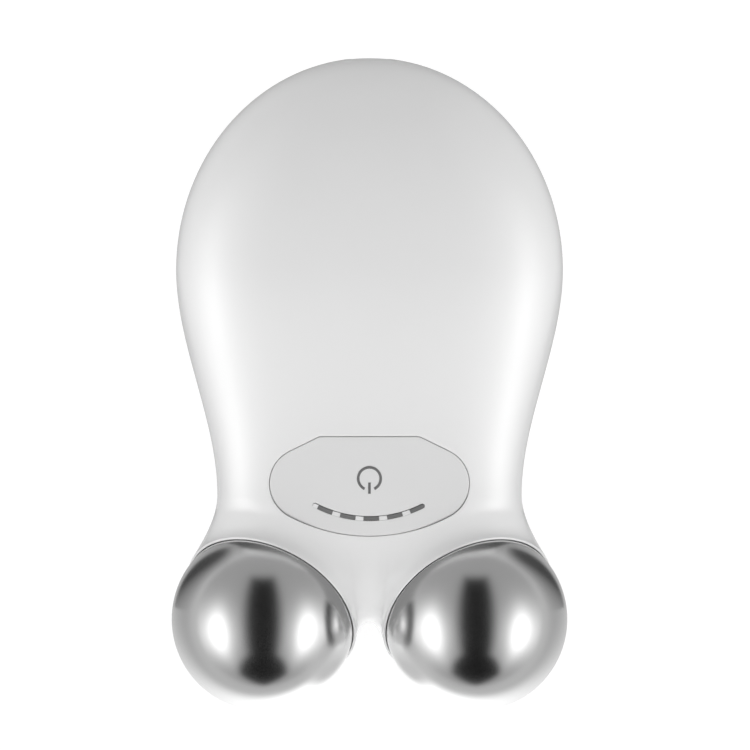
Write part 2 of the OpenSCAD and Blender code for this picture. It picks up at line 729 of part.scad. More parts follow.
module sphere_screw() color(steel) sphere_frame() {
  cylinder_between(ball_screw_r, back_step - 0.4, ball_head_z + 0.1, 32);
  difference() {
    cylinder_between(ball_head_r, ball_head_z, ball_head_z + ball_head_h, 40);
    translate([-0.35, -ball_head_r + 0.6, ball_head_z + 0.8]) cube([0.7, 2 * ball_head_r - 1.2, 2]);
    translate([-ball_head_r + 0.6, -0.35, ball_head_z + 0.8]) cube([2 * ball_head_r - 1.2, 0.7, 2]);
  }
}
module sphere_screws() both_sides() sphere_screw();

// Ring terminal under the screw's head; its crimp points up to the board
module sphere_terminal() color(brass) sphere_frame() difference() {
  union() {
    cylinder_between(terminal_r, socket_end, ball_head_z, 40);
    translate([-crimp_r, -terminal_r - crimp_len, socket_end])
      cube([2 * crimp_r, crimp_len + 0.6, terminal_t]);
    translate([0, -terminal_r - 0.4, socket_end + crimp_r]) rotate([90, 0, 0])
      cylinder(r = crimp_r, h = crimp_len - 0.4, $fn = 32);
  }
  cylinder_between(ball_screw_r + loose, socket_end - 1, ball_head_z + 3);
  cylinder_between(ball_head_r + fit, ball_head_z, ball_head_z + 3);
}
module sphere_terminals() both_sides() sphere_terminal();

// ---- Leads -------------------------------------------------------------------------------------

lead_r = 0.55;

// A tube with eight sides along hand-set points
module lead(points, r = lead_r) {
  n = len(points);
  sides = 8;
  dirs = [for (i = [0:n - 1]) unit(points[min(i + 1, n - 1)] - points[max(i - 1, 0)])];
  rings = [for (i = [0:n - 1])
    let (u = unit(cross(dirs[i], abs(dirs[i][0]) < 0.8 ? [1, 0, 0] : [0, 1, 0])), v = cross(dirs[i], u))
    each [for (s = [0:sides - 1]) points[i] + r * (cos(45 * s) * u + sin(45 * s) * v)]];
  row = function (i) [for (s = [0:sides - 1]) i * sides + s];
  polyhedron(rings, concat(
    [for (i = [1:n - 1]) each band(row(i - 1), row(i))],
    [row(0), [for (s = [sides - 1:-1:0]) (n - 1) * sides + s]]));
}

// A path through the points: its first and last stretches are straight, the others are curved
function curve_pt(p0, p1, p2, p3, t) =
  0.5 * ((2 * p1) + (p2 - p0) * t + (2 * p0 - 5 * p1 + 4 * p2 - p3) * t * t
         + (3 * p1 - p0 - 3 * p2 + p3) * t * t * t);
function curve(p, n = 4) = let (m = len(p) - 1)
  concat([p[0]],
    [for (i = [1:m - 2], s = [0:n - 1]) curve_pt(p[i - 1], p[i], p[i + 1], p[i + 2], s / n)],
    [p[m - 1], p[m]]);

// From a terminal's crimp, behind the socket plate, up to the board's underside
crimp_end = ball_c - (socket_end + crimp_r) * ball_axis + (terminal_r + crimp_len + fit) * rim_top;
lead_pad = [board_w2 - 5, neck_y - 1, board_bottom_z - fit];
module electrode_lead() color(lead_white) lead(curve([
  crimp_end,
  crimp_end + rim_top,
  mix(crimp_end, lead_pad, 0.55) + [0, 0, -0.4],
  lead_pad - [0, 0, 1],
  lead_pad]));

// ---- Main board --------------------------------------------------------------------------------

module rounded_plate(w2, y0, y1, r) hull() for (x = [-1, 1], y = [y0 + r, y1 - r])
  translate([x * (w2 - r), y]) circle(r, $fn = 32);

module main_board() color(board_green) difference() {
  translate([0, 0, board_bottom_z]) linear_extrude(board_t)
    rounded_plate(board_w2, board_low_y, board_high_y, 3);
  board_screw_places() cylinder_between(board_screw_r + loose, board_bottom_z - 1, board_top_z + 1, 24);
}

module board_screws() color(steel) board_screw_places() {
  cylinder_between(board_screw_r, board_bottom_z - 0.1, board_top_z + board_bite, 24);
  cylinder_between(board_head_r, board_bottom_z - 1.3, board_bottom_z, 32);
}

// A box that stands on the board, centred at x, y
module on_board(x, y, size) translate([x - size[0] / 2, y - size[1] / 2, board_top_z]) cube(size);

module power_switch_body() color(chip_black) difference() {
  on_board(0, switch_y, [switch_w, switch_w, switch_h]);
  translate([0, switch_y, plunger_low_z - key_travel - 0.2])
    cylinder(r = plunger_r + plunger_gap, h = switch_h, $fn = 48);
}
module power_switch_plunger() color(white) translate([0, switch_y, plunger_low_z])
  cylinder(r = plunger_r, h = plunger_top_z - plunger_low_z, $fn = 48);

module at_windows() for (i = [0:windows - 1]) let (a = window_a0(i) + window_a / 2)
  translate([0, strip_y, 0]) rotate([0, 0, a]) translate([0, -strip_r, 0]) children();
led_h = 0.8;
module indicator_leds() color(pale) at_windows() translate([-led_w / 2, -led_w / 2, board_top_z])
  cube([led_w, led_w, led_h]);
module light_baffle() color(chip_black) difference() {
  translate([0, 0, board_top_z]) linear_extrude(baffle_h)
    strip_arc(baffle_w, window_a0(0) - 1.5, window_a0(windows - 1) + window_a + 1.5);
  at_windows() translate([-led_w / 2 - loose, -led_w / 2 - loose, board_top_z - 1])
    cube([led_w + 2 * loose, led_w + 2 * loose, baffle_h + 2]);
}

// Places of the board's parts, from the key's upper edge and the middle line
part_y = key_top_y;
module microcontroller() color(chip_black) on_board(-6.5, part_y + 18, [7, 7, 1.2]);
module boost_coil() color(smoke) on_board(-6, part_y + 9.6, [6, 6, 3]);
module smoothing_capacitors() color(steel) for (x = [-0.5, 5])
  translate([x, part_y + 4.2, board_top_z]) cylinder(r = 2.4, h = 5, $fn = 40);
module charge_chip() color(chip_black) on_board(-3, part_y + 26, [5, 4, 1.5]);
module board_passives() color(brass) {
  for (i = [0:3]) on_board(-1.2, part_y + 14.5 + 2.2 * i, [1.6, 0.9, 0.6]);
  for (x = [-10, 10], i = [0:1]) on_board(x, part_y - 3 - 2.4 * i, [0.9, 1.6, 0.6]);
}
beeper_c = [4, 12.6];
module beeper() color(chip_black) translate([beeper_c[0], part_y + beeper_c[1], board_top_z]) difference() {
  cylinder(r = 4.4, h = 3.5, $fn = 48);
  translate([0, 0, 2.5]) cylinder(r = 0.9, h = 2, $fn = 24);
}
socket_c = [5, 22.6];
plug_y0 = part_y + socket_c[1] + 2.5 + fit;
plug_len = 4;
module battery_socket() color(lead_white) on_board(socket_c[0], part_y + socket_c[1], [6.4, 5, 4.4]);
module battery_plug() color(lead_white) translate([socket_c[0] - 2.6, plug_y0, board_top_z + fit])
  cube([5.2, plug_len, 3.8]);

// ---- Battery -----------------------------------------------------------------------------------

module along_y(y0, y1, r, n = 64) translate([0, y0, 0]) rotate([-90, 0, 0])
  cylinder(r = r, h = y1 - y0, $fn = n);

module battery_cell() color([0.2, 0.35, 0.6]) translate([0, 0, cell_z]) along_y(cell_y0, cell_y1, cell_r);
module battery_tabs() color(steel) {
  translate([-2, cell_y1, cell_z - 2]) cube([4, tab_t, 4]);
  translate([-2, cell_y0 - tab_t, cell_z - 2]) cube([4, tab_t, 4]);
}

module battery_cradle() {
  y0 = cell_y0 - loose - tab_t;
  y1 = cell_y1 + loose + tab_t;
  side_z = cell_z - 0.5;
  color(smoke) difference() {
    union() {
      translate([-cradle_w2, y0 - cradle_t, cradle_z])
        cube([2 * cradle_w2, y1 - y0 + 2 * cradle_t, side_z - cradle_z]);
      translate([-cradle_ear[0], cradle_ear[1] - cradle_ear_r, cradle_z])
        cube([2 * cradle_ear[0], 2 * cradle_ear_r, cradle_t]);
      cradle_ear_places() cylinder_between(cradle_ear_r, cradle_z, cradle_z + cradle_t);
    }
    translate([0, 0, cell_z]) along_y(y0, y1, cell_r + loose);
    for (t = [0.25, 0.75]) translate([-far / 2, mix(y0, y1, t) - 6, cradle_z + cradle_t])
      cube([far, 12, far]);
    cradle_ear_places() cylinder_between(cradle_screw_r + loose, cradle_z - 1, cradle_z + cradle_t + 1, 24);
  }
}
module cradle_screws() color(steel) cradle_ear_places() {
  cylinder_between(cradle_screw_r, cradle_z - 1.4, cradle_z + cradle_t + 0.1, 24);
  cylinder_between(cradle_head_r, cradle_z + cradle_t, cradle_z + cradle_t + 1.3, 32);
}

// ---- Charging port -----------------------------------------------------------------------------

// A turned ring whose face slopes back to the palm end; its bore narrows in front of the jack's nose
module port_ring() color(pale) translate([0, 0, seam_z]) rotate([-90, 0, 0]) rotate_extrude($fn = 64)
  polygon([
    [port_r, port_face_y], [port_r + 0.2, port_face_y], [port_ring_r, port_face_y - port_slope],
    [port_ring_r, port_flange_y], [port_flange_r, port_flange_y], [port_flange_r, port_back_y],
    [nose_r, port_back_y], [nose_r, port_step_y], [port_r, port_step_y]]);
module charging_jack() color(chip_black) translate([0, 0, seam_z]) difference() {
  union() {
    along_y(jack_face_y - 0.1, port_step_y - fit, nose_r - fit);
    translate([-jack_w / 2, jack_back_y, -jack_w / 2]) cube([jack_w, jack_len, jack_w]);
  }
  difference() {
    along_y(jack_back_y + 2, port_step_y + 1, 1.8, 40);
    along_y(jack_back_y + 1, port_step_y - 0.6, 0.6, 24);
  }
}

module charging_leads() {
  pads = [[-6.4, lead_red], [-4, lead_white]];
  pad_y = board_high_y - 1.6;
  for (i = [0, 1]) color(pads[i][1]) lead(curve([
    [-1.6 + 3.2 * i, jack_back_y - fit, seam_z],
    [-1.6 + 3.2 * i, jack_back_y - 1, seam_z],
    [-2.4 + 3 * i, jack_back_y - 3, seam_z + 2.4],
    [pads[i][0], mix(jack_back_y, board_high_y, 0.55), board_top_z + 1.6],
    [pads[i][0], board_high_y + 1.5, board_top_z + 2.6],
    [pads[i][0], pad_y, board_top_z + 1.2],
    [pads[i][0], pad_y, board_top_z + fit]]));
}

// Both leads leave the plug, turn round the board's edge and run to the cell's two ends
module battery_leads() {
  plug_x = [socket_c[0] - 1.2, socket_c[0] + 1.2];
  plug_end = plug_y0 + plug_len + fit;
  plug_z = board_top_z + 2;
  run_x = cradle_w2 + 2.4;
  tab_z = cell_z + 1.3;
  color(lead_red) lead(curve([
    [plug_x[0], plug_end, plug_z],
    [plug_x[0], plug_end + 1, plug_z],
    [plug_x[0] + 0.5, mix(board_high_y, cell_y1, 0.45), plug_z - 1.6],
    [4, cell_y1 + 3, cell_z + 6.4],
    [0.8, cell_y1 + 2.4, tab_z],
    [0.8, cell_y1 + tab_t + 1, tab_z],
    [0.8, cell_y1 + tab_t + fit, tab_z]]));
  color(chip_black) lead(curve([
    [plug_x[1], plug_end, plug_z],
    [plug_x[1], plug_end + 1, plug_z],
    [run_x - 0.5, board_high_y + 5, board_bottom_z - 1],
    [run_x, board_high_y, cell_z + 1],
    [run_x, cell_y + 2, cell_z - 2],
    [run_x, cell_y0 + 4, cell_z - 1],
    [6, cell_y0 - 3, tab_z],
    [0.8, cell_y0 - 2.4, tab_z],
    [0.8, cell_y0 - tab_t - 1, tab_z],
    [0.8, cell_y0 - tab_t - fit, tab_z]]));
}

// ---- Fasteners and feet ------------------------------------------------------------------------

module housing_screws() color(steel) case_screw_places() {
  cylinder_between(case_screw_r, case_head_z + 0.1, seam_z + case_bite, 32);
  cylinder_between(case_head_r, case_head_z, case_head_z + case_head_h, 40);
}
module screw_caps() color(pale) case_screw_places() translate([0, 0, case_head_z - cap_h])
  cylinder(r = case_head_r + loose - fit, h = cap_h - fit, $fn = 40);
module rubber_feet() color(rubber) foot_places() rotate_extrude($fn = 64) {
  edge = 0.8;
  union() {
    translate([0, edge]) square([foot_r, foot_h - fit - edge]);
    square([foot_r - edge, foot_h - fit]);
    translate([foot_r - edge, edge]) circle(edge, $fn = 32);
  }
}

front_shell();
rear_shell();
control_key();
power_symbol();
light_strip();
indicator_windows();
on_side(true) sphere_shell();  // left_sphere
on_side(false) sphere_shell();  // right_sphere
on_side(true) sphere_back();  // left_sphere_back
on_side(false) sphere_back();  // right_sphere_back
on_side(true) sphere_seal();  // left_sphere_seal
on_side(false) sphere_seal();  // right_sphere_seal
on_side(true) socket();  // left_socket
on_side(false) socket();  // right_socket
sphere_screws();
sphere_terminals();
on_side(true) electrode_lead();  // left_electrode_lead
on_side(false) electrode_lead();  // right_electrode_lead
main_board();
board_screws();
power_switch_body();
power_switch_plunger();
indicator_leds();
light_baffle();
microcontroller();
boost_coil();
smoothing_capacitors();
charge_chip();
board_passives();
beeper();
battery_socket();
battery_plug();
battery_leads();
battery_cell();
battery_tabs();
battery_cradle();
cradle_screws();
port_ring();
charging_jack();
charging_leads();
housing_screws();
screw_caps();
rubber_feet();
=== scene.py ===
# %% [markdown]
# # A facial toner with two chromed spheres
# The device is a white palm-shaped grip. Its neck carries one control key, and forks into two collars
# that hold mirror-bright spheres. It lies on its back, its front face up (+Z), the palm end at +Y.
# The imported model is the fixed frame: every piece that is modelled here takes the place of a piece
# of that frame, at the same spot, with rounder edges and a real finish.

# %% Load the frame
import json
import math

import bmesh
import bpy
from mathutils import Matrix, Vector
from mathutils.bvhtree import BVHTree


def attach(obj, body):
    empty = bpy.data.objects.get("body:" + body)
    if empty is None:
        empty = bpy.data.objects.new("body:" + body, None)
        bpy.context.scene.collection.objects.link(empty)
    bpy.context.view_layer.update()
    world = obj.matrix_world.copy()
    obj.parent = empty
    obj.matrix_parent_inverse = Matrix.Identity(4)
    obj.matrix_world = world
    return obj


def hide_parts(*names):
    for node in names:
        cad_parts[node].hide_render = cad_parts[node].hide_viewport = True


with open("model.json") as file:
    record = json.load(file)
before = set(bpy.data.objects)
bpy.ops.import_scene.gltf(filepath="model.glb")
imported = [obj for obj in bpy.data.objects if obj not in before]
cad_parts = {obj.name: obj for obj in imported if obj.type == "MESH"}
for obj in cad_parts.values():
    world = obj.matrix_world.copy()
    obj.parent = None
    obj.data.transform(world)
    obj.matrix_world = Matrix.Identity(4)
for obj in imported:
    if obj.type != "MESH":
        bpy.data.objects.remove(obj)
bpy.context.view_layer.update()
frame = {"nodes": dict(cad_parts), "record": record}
nodes = frame["nodes"]

# %% [markdown]
# ## Helpers for modelling by operator
# Operators act on whatever is selected, and loading the frame leaves all its nodes selected. So each
# helper first clears the selection and then selects only what it works on.

# %% Selection and edit mode
MM = 0.001
UP = Vector((0, 0, 1))


def only(piece):
    """Selects one object alone and makes it active."""
    bpy.ops.object.select_all(action="DESELECT")
    piece.select_set(True)
    bpy.context.view_layer.objects.active = piece
    return piece


def edit(piece, *steps):
    """Runs each step on the piece in edit mode, with everything in it selected."""
    only(piece)
    bpy.ops.object.mode_set(mode="EDIT")
    for step in steps:
        bpy.ops.mesh.select_all(action="SELECT")
        step()
    bpy.ops.object.mode_set(mode="OBJECT")
    return piece


def select_where(piece, kind, wanted):
    """In edit mode: selects the VERT, EDGE or FACE elements for which wanted(element) is true."""
    bm = bmesh.from_edit_mesh(piece.data)
    bpy.ops.mesh.select_all(action="DESELECT")
    bpy.ops.mesh.select_mode(type=kind)
    for element in {"VERT": bm.verts, "EDGE": bm.edges, "FACE": bm.faces}[kind]:
        element.select_set(wanted(element))
    bmesh.update_edit_mesh(piece.data)


def weld():
    bpy.ops.mesh.remove_doubles(threshold=2e-7)


def face_outward():
    bpy.ops.mesh.normals_make_consistent(inside=False)


def fill_openings():
    bpy.ops.mesh.fill_holes(sides=0)


# %% [markdown]
# ### Modifiers, booleans and copies
# Modifiers and booleans could stay live in the file, but the pieces are measured and cut again later
# on, so each one is applied at once. A boolean's tool is thrown away, as a cutter is put back in its
# drawer.

# %% Modifiers, booleans and copies
def bake_modifier(piece, kind, **values):
    """Adds a modifier, sets its values and applies it."""
    modifier = piece.modifiers.new(kind.lower(), kind)
    for name, value in values.items():
        setattr(modifier, name, value)
    only(piece)
    bpy.ops.object.modifier_apply(modifier=modifier.name)
    return piece


def combine(piece, tool, operation):
    """Boolean of the piece with a tool, which is then removed."""
    bake_modifier(piece, "BOOLEAN", object=tool, operation=operation, solver="EXACT")
    bpy.data.objects.remove(tool)
    return piece


def copy_of(piece, name):
    """A second object with a mesh of its own."""
    twin = bpy.data.objects.new(name, piece.data.copy())
    bpy.context.scene.collection.objects.link(twin)
    return twin


def joined(pieces, name):
    """Joins separate objects into one."""
    only(pieces[0])
    for piece in pieces:
        piece.select_set(True)
    if len(pieces) > 1:
        bpy.ops.object.join()
    pieces[0].name = name
    return pieces[0]


def settle(piece):
    """Moves an object's place and turn into its mesh, so that the object sits at the origin."""
    only(piece)
    bpy.ops.object.transform_apply(location=True, rotation=True, scale=True)
    return piece


def smooth_shade(piece, angle=32):
    only(piece)
    bpy.ops.object.shade_smooth_by_angle(angle=math.radians(angle))
    return piece


# %% [markdown]
# ### Grids, lofts and bars
# Most pieces here are a flat grid that is pulled round a form, as one would wrap paper round it. It
# could be modelled by hand with proportional editing, but a formula for each grid point keeps every
# highlight even. A loft is such a grid whose two sides meet, and round holes start from a plain bar.

# %% Wrapped grids, lofts and bars
def wrapped_sheet(name, columns, rows, place):
    """Adds a grid and wraps it: place(column, row) gives a grid point's place in millimetres."""
    bpy.ops.object.select_all(action="DESELECT")
    bpy.ops.mesh.primitive_grid_add(x_subdivisions=columns, y_subdivisions=rows, size=1)
    sheet = bpy.context.object
    sheet.name = name
    for vertex in sheet.data.vertices:
        column = round((vertex.co.x + 0.5) * columns)
        row = round((vertex.co.y + 0.5) * rows)
        vertex.co = MM * Vector(place(column, row))
    return sheet


def loft(name, loops):
    """A closed tube of quads through loops that have the same number of points each."""
    count = len(loops[0])
    sheet = wrapped_sheet(name, count, len(loops) - 1, lambda k, i: loops[i][k % count])
    return edit(sheet, weld, face_outward)


def bar_between(name, radius, start, end, sides=64):
    """A cylinder from one point to another, in millimetres."""
    start, end = Vector(start), Vector(end)
    bpy.ops.object.select_all(action="DESELECT")
    bpy.ops.mesh.primitive_cylinder_add(
        vertices=sides, radius=radius * MM, depth=(end - start).length * MM,
        location=MM * (start + end) / 2,
        rotation=(end - start).to_track_quat("Z", "Y").to_euler())
    bpy.context.object.name = name
    return settle(bpy.context.object)


# %% [markdown]
# ## The form of the housing
# On the real device the skin is one flowing surface: a domed palm, a waist, and two legs that turn
# into round collars. It could be sculpted, but then no size could be checked. So a stack of
# superellipses gives the palm and the neck, and cubic curves carry half of the neck's ring and the
# arch between the legs onto each collar's circle. The curves are those of the frame's housing,
# sampled much finer, so that a highlight runs along them without a kink. Only the collars are turned
# a little slimmer here, with a small round lip close to the metal.

# %% Sizes of the housing, in millimetres and degrees
palm_w, palm_end, palm_y = 67.6, 37.1, 19.95   # width, length past the widest line, that line's place
front_h, rear_h, seam_z = 17, 18, 19   # above and below the seam, and the seam over the ground
front_n, rear_n, end_n = 3, 2.8, 2.4   # fullness of the two halves and of the palm's end
neck_w, neck_y, neck_front_h, neck_rear_h = 53.2, -19.4, 11.7, 16
web_y, web_n = -41.65, 2.1   # deepest point and fullness of the arch between the legs
wall = 2
splay, tilt = 31.5, 40.5   # the spheres' axes: outward from the middle, and up
ball_x, ball_y = 18.55, -41.05
ball_r, ball_wall, ball_cut = 16, 1.2, 5.6   # the cut plane lies behind the sphere's centre
rim_back = 3.2   # the collar's edge lies behind it too
lip_gap, lip_round, lip_land = 0.12, 0.3, 0.06
corner_t, turn_t, fade_low, fade_high, inner_pull = 130, 50, 60, 130, 0.35   # how a leg's curves turn
groove = 0.11

ball_axis = Vector((
    math.sin(math.radians(splay)) * math.cos(math.radians(tilt)),
    -math.cos(math.radians(splay)) * math.cos(math.radians(tilt)),
    math.sin(math.radians(tilt))))
ball_c = Vector((ball_x, ball_y, seam_z + rim_back * ball_axis.z))
rim_c = ball_c - rim_back * ball_axis
rim_r = math.sqrt(ball_r ** 2 - rim_back ** 2) + lip_gap + lip_round + lip_land
rim_side = Vector((math.cos(math.radians(splay)), math.sin(math.radians(splay)), 0))
rim_top = ball_axis.cross(rim_side)
print("sphere centre:", tuple(round(v, 2) for v in ball_c), "collar radius:", round(rim_r, 2))

# %% [markdown]
# ### Rings, caps and the arch
# Every ring round the body is a superellipse, an ellipse that can be made fuller by one number, as a
# handheld's section is. The rings shrink to nothing at the palm's end and narrow smoothly to the
# waist. The arch between the legs is half of such a ring, turned upright.


# %% Curves of the housing
def mix(a, b, t):
    return a + (b - a) * t


def smooth(t):
    t = max(0.0, min(1.0, t))
    return t * t * (3 - 2 * t)


def sin_d(a):
    return math.sin(math.radians(a))


def cos_d(a):
    return math.cos(math.radians(a))


def full(v, e):
    """A superellipse's sine or cosine: 2 is an ellipse, more is fuller."""
    return math.copysign(abs(v) ** (2 / e), v)


def ring_pt(size, y, a):
    """A point at angle a on the ring at y. Its size is half width, height and depth."""
    up = sin_d(a) >= 0
    e = front_n if up else rear_n
    height = size[1] if up else size[2]
    return Vector((size[0] * full(cos_d(a), e), y, seam_z + height * full(sin_d(a), e)))


def flank_size(t, inset):
    """Half width, height above the seam and depth below it, from the widest line to the neck."""
    s = smooth(t)
    return (mix(palm_w, neck_w, s) / 2 - inset, mix(front_h, neck_front_h, s) - inset,
            mix(rear_h, neck_rear_h, s) - inset)


def cap_size(a, inset):
    """The same three sizes on the palm's end, from its widest line (0) to its tip (90)."""
    side = max(0.0, 1 - abs(sin_d(a)) ** end_n) ** (1 / end_n)
    return ((palm_w / 2 - inset) * cos_d(a), (front_h - inset) * side, (rear_h - inset) * side)


def neck_pt(inset, a):
    """A point on the neck's ring, where the legs begin."""
    return ring_pt(flank_size(1, inset), neck_y, a)


def arch_pt(inset, b):
    """A point of the arch between the legs, from underneath (-90) over the web (0) to the top (90)."""
    height = neck_front_h if b >= 0 else neck_rear_h
    return Vector((0, neck_y - (neck_y - web_y - inset) * full(cos_d(b), web_n),
                   seam_z + (height - inset) * full(sin_d(b), web_n)))


def around(centre, radius, t):
    """A point on a circle across the sphere's axis."""
    return centre + radius * (cos_d(t) * rim_side + sin_d(t) * rim_top)


print("waist:", round(2 * neck_pt(0, 0).x, 1), "wide, web at y", round(arch_pt(0, 0).y, 2))

# %% [markdown]
# ### One leg of the fork
# A leg starts on half of the neck's ring and on the arch, and ends on its collar's circle. It could be
# a bridge between two edge loops, but that gives no hold on how it leaves either one. Here each line
# of the leg is a cubic curve with a direction at both ends, so that it flows out of the neck without a
# kink and meets the collar along the sphere's axis.

# %% One leg of the fork
STEP = 0.5


def arch_dir(inset, b):
    """Direction along the arch, from the neck's top or underside towards the web."""
    if abs(b) < 1e-6:
        return Vector((0, -1, 0))
    s = math.copysign(STEP, b)
    return (arch_pt(inset, b - s) - arch_pt(inset, b + s)).normalized()


def ring_dir(inset, a):
    """Direction along the neck's ring, from its top or underside towards its side."""
    if abs(a) < 1e-6:
        return Vector((0, 0, 1))
    s = math.copysign(1, a)
    outer = min(90, abs(a) + STEP)
    return (neck_pt(inset, a - s * STEP) - neck_pt(inset, s * outer)).normalized()


def leg_curve(inset, k, ring_q, arch_q, lip):
    """Ends and end directions of the k-th curve of a leg."""
    on_ring = k <= 2 * ring_q
    if on_ring:
        a = -90 + 90 * k / ring_q
        t, start = corner_t * a / 90, neck_pt(inset, a)
    else:
        a = 90 - 90 * (k - 2 * ring_q) / arch_q
        t, start = 180 - (180 - corner_t) * a / 90, arch_pt(inset, a)
    away = 360 - t if t > 180 else abs(t)
    turn = 90 * smooth((away - turn_t) / (180 - turn_t))
    along = Vector((0, -1, 0)) if on_ring else arch_dir(inset, a)
    across = ring_dir(inset, a) if on_ring else Vector((1, 0, 0))
    direction = (cos_d(turn) * along + sin_d(turn) * across).normalized()
    if t <= 180:
        inner = smooth((t - fade_low) / (fade_high - fade_low))
    else:
        inner = smooth((360 - corner_t - t) / (180 - corner_t))
    end = around(rim_c - lip * ball_axis, rim_r - inset, t)
    length = (end - start).length
    return t, start, length * direction, end, length * mix(1, inner_pull, inner) * ball_axis


def leg_pt(curve, v):
    """A point of a leg's curve, for v from 0 on the neck to 1 on the collar."""
    t, start, start_pull, end, end_pull = curve
    v2, v3 = v * v, v * v * v
    return ((2 * v3 - 3 * v2 + 1) * start + (v3 - 2 * v2 + v) * start_pull
            + (3 * v2 - 2 * v3) * end + (v3 - v2) * end_pull)


# %% [markdown]
# ## Wrapping grids onto the form
# The skin of the real housing has no visible patches, so the grids here must not show either. The palm
# and neck are one grid, each leg is another. Their edges meet point on point, so joining and welding
# them gives one closed skin. The collar's edge is rounded by a few more rows past the end of the leg.
# The same function, with an inset, makes the smaller form that hollows the housing.

# %% A closed form, shrunk by an inset
LIP_ROWS = 4


def housing_form(name, inset, ring_q, arch_q, cap_rows, flank_rows, leg_rows):
    """The whole skin. ring_q and arch_q are points on a quarter of the ring and of the arch."""
    ring_n, loop_n = 4 * ring_q, 2 * (ring_q + arch_q)
    lip = lip_round if inset == 0 else 0

    def palm_place(k, i):
        a = -90 + 90 * k / ring_q
        if i <= cap_rows:
            end = 90 * (1 - i / cap_rows)
            return ring_pt(cap_size(end, inset), palm_y + (palm_end - inset) * sin_d(end), a)
        t = (i - cap_rows) / flank_rows
        return ring_pt(flank_size(t, inset), mix(palm_y, neck_y, t), a)

    curves = [leg_curve(inset, k, ring_q, arch_q, lip) for k in range(loop_n)]

    def leg_place(k, i):
        curve = curves[k % loop_n]
        if i <= leg_rows:
            return leg_pt(curve, i / leg_rows)
        if inset:   # an inner form reaches past the collar, so that it cuts right through
            return around(rim_c + (i - leg_rows) / LIP_ROWS * ball_axis, rim_r - inset, curve[0])
        a = 90 * (i - leg_rows) / LIP_ROWS
        return around(rim_c - lip * (1 - sin_d(a)) * ball_axis, rim_r - lip * (1 - cos_d(a)), curve[0])

    rows = leg_rows + LIP_ROWS
    palm = wrapped_sheet("palm", ring_n, cap_rows + flank_rows, palm_place)
    right = wrapped_sheet("right_leg", loop_n, rows, leg_place)
    left = wrapped_sheet("left_leg", loop_n, rows,
                         lambda k, i: Vector((-1, 1, 1)) * leg_place(k, i))
    form = joined([palm, right, left], name)
    return edit(form, weld, fill_openings, face_outward)


outer = housing_form("outer_form", 0, 40, 24, 36, 30, 26)
print("outer form:", len(outer.data.vertices), "points")

# %% [markdown]
# ### The web between the legs
# Between the legs the real skin is drawn like a saddle, without any line. There the two leg grids meet
# the neck's grid, so the points round that place are smoothed together.

# %% Smooth the web and make the inner form
web_half_w, web_low_y, web_high_y = 12, -39, -16


def in_web(vertex):
    p = vertex.co / MM
    return abs(p.x) < web_half_w and web_low_y < p.y < web_high_y


def soften_web():
    select_where(outer, "VERT", in_web)
    bpy.ops.mesh.vertices_smooth(factor=0.5, repeat=30)


edit(outer, soften_web)
inner = housing_form("inner_form", wall, 18, 10, 16, 12, 10)
print("inner form:", len(inner.data.vertices), "points")

# %% [markdown]
# ## The parting line
# Two moulded halves never meet in an invisible line: each has a tiny radius at its edge, and the
# pair shows as a fine groove all round. Three cuts close together make room for it, and the middle
# one is pushed inwards.


# %% Cut a fine groove at the seam
def slice_at(z):
    bpy.ops.mesh.bisect(plane_co=(0, 0, z * MM), plane_no=UP, threshold=1e-7)


edit(outer, *[lambda z=z: slice_at(z) for z in (seam_z - groove, seam_z, seam_z + groove)])
for vertex in outer.data.vertices:
    if abs(vertex.co.z - seam_z * MM) < 1e-7:
        sideways = Vector((vertex.normal.x, vertex.normal.y, 0)).normalized()
        vertex.co -= groove * MM * sideways
print("points after the groove:", len(outer.data.vertices))

# %% [markdown]
# ### Measuring on the skin
# The key has to follow the skin round it, so the skin's height is asked for at many places. A ray that
# is cast straight down onto the finished form gives it. A copy of the form is kept for the painted shade
# over the shoulders.


# %% Heights of the skin
surface = BVHTree.FromObject(outer, bpy.context.evaluated_depsgraph_get())
# a copy of the form that becomes the sheet of painted shade over the shoulders
shoulders = copy_of(outer, "painted_shade_over_shoulders")


def height_on(tree, x, y):
    """Height of a form's upper surface over a point, in millimetres."""
    hit = tree.ray_cast(Vector((x * MM, y * MM, 0.1)), -UP)[0]
    return hit.z / MM


print("height over the key:", round(height_on(surface, 0, -17), 2))

# %% [markdown]
# ## Balls, slabs and cuts
# The spheres sit on axes that lean outwards and up. A few helpers place a ball on such an axis, with
# its poles along it, and cut a mesh at a plane or with a wide flat box.


# %% Balls, slabs and cuts
def ball_frame(side):
    """Sphere centre and outward axis of the left (-1) or right (1) sphere."""
    mirrored = Vector((side, 1, 1))
    return ball_c * mirrored, ball_axis * mirrored


def add_ball(name, radius, side, segments):
    """A ball about a sphere's centre, with its pole on the collar's axis."""
    centre, axis = ball_frame(side)
    bpy.ops.object.select_all(action="DESELECT")
    bpy.ops.mesh.primitive_uv_sphere_add(
        segments=segments, ring_count=segments // 2, radius=radius * MM, location=centre * MM,
        rotation=axis.to_track_quat("Z", "Y").to_euler())
    bpy.context.object.name = name
    return settle(bpy.context.object)


def slab(z0, z1):
    """A wide box between two heights, in millimetres."""
    bpy.ops.object.select_all(action="DESELECT")
    bpy.ops.mesh.primitive_cube_add(size=1, location=(0, 0, MM * (z0 + z1) / 2),
                                    scale=(0.2, 0.2, MM * (z1 - z0)))
    return settle(bpy.context.object)


def keep_side(centre, normal, fill):
    """In edit mode: cuts at a plane and keeps the side that the normal points to."""
    bpy.ops.mesh.bisect(plane_co=Vector(centre) * MM, plane_no=normal, threshold=1e-7,
                        clear_inner=True, use_fill=fill)


print("right sphere's axis:", tuple(round(v, 3) for v in ball_frame(1)[1]))

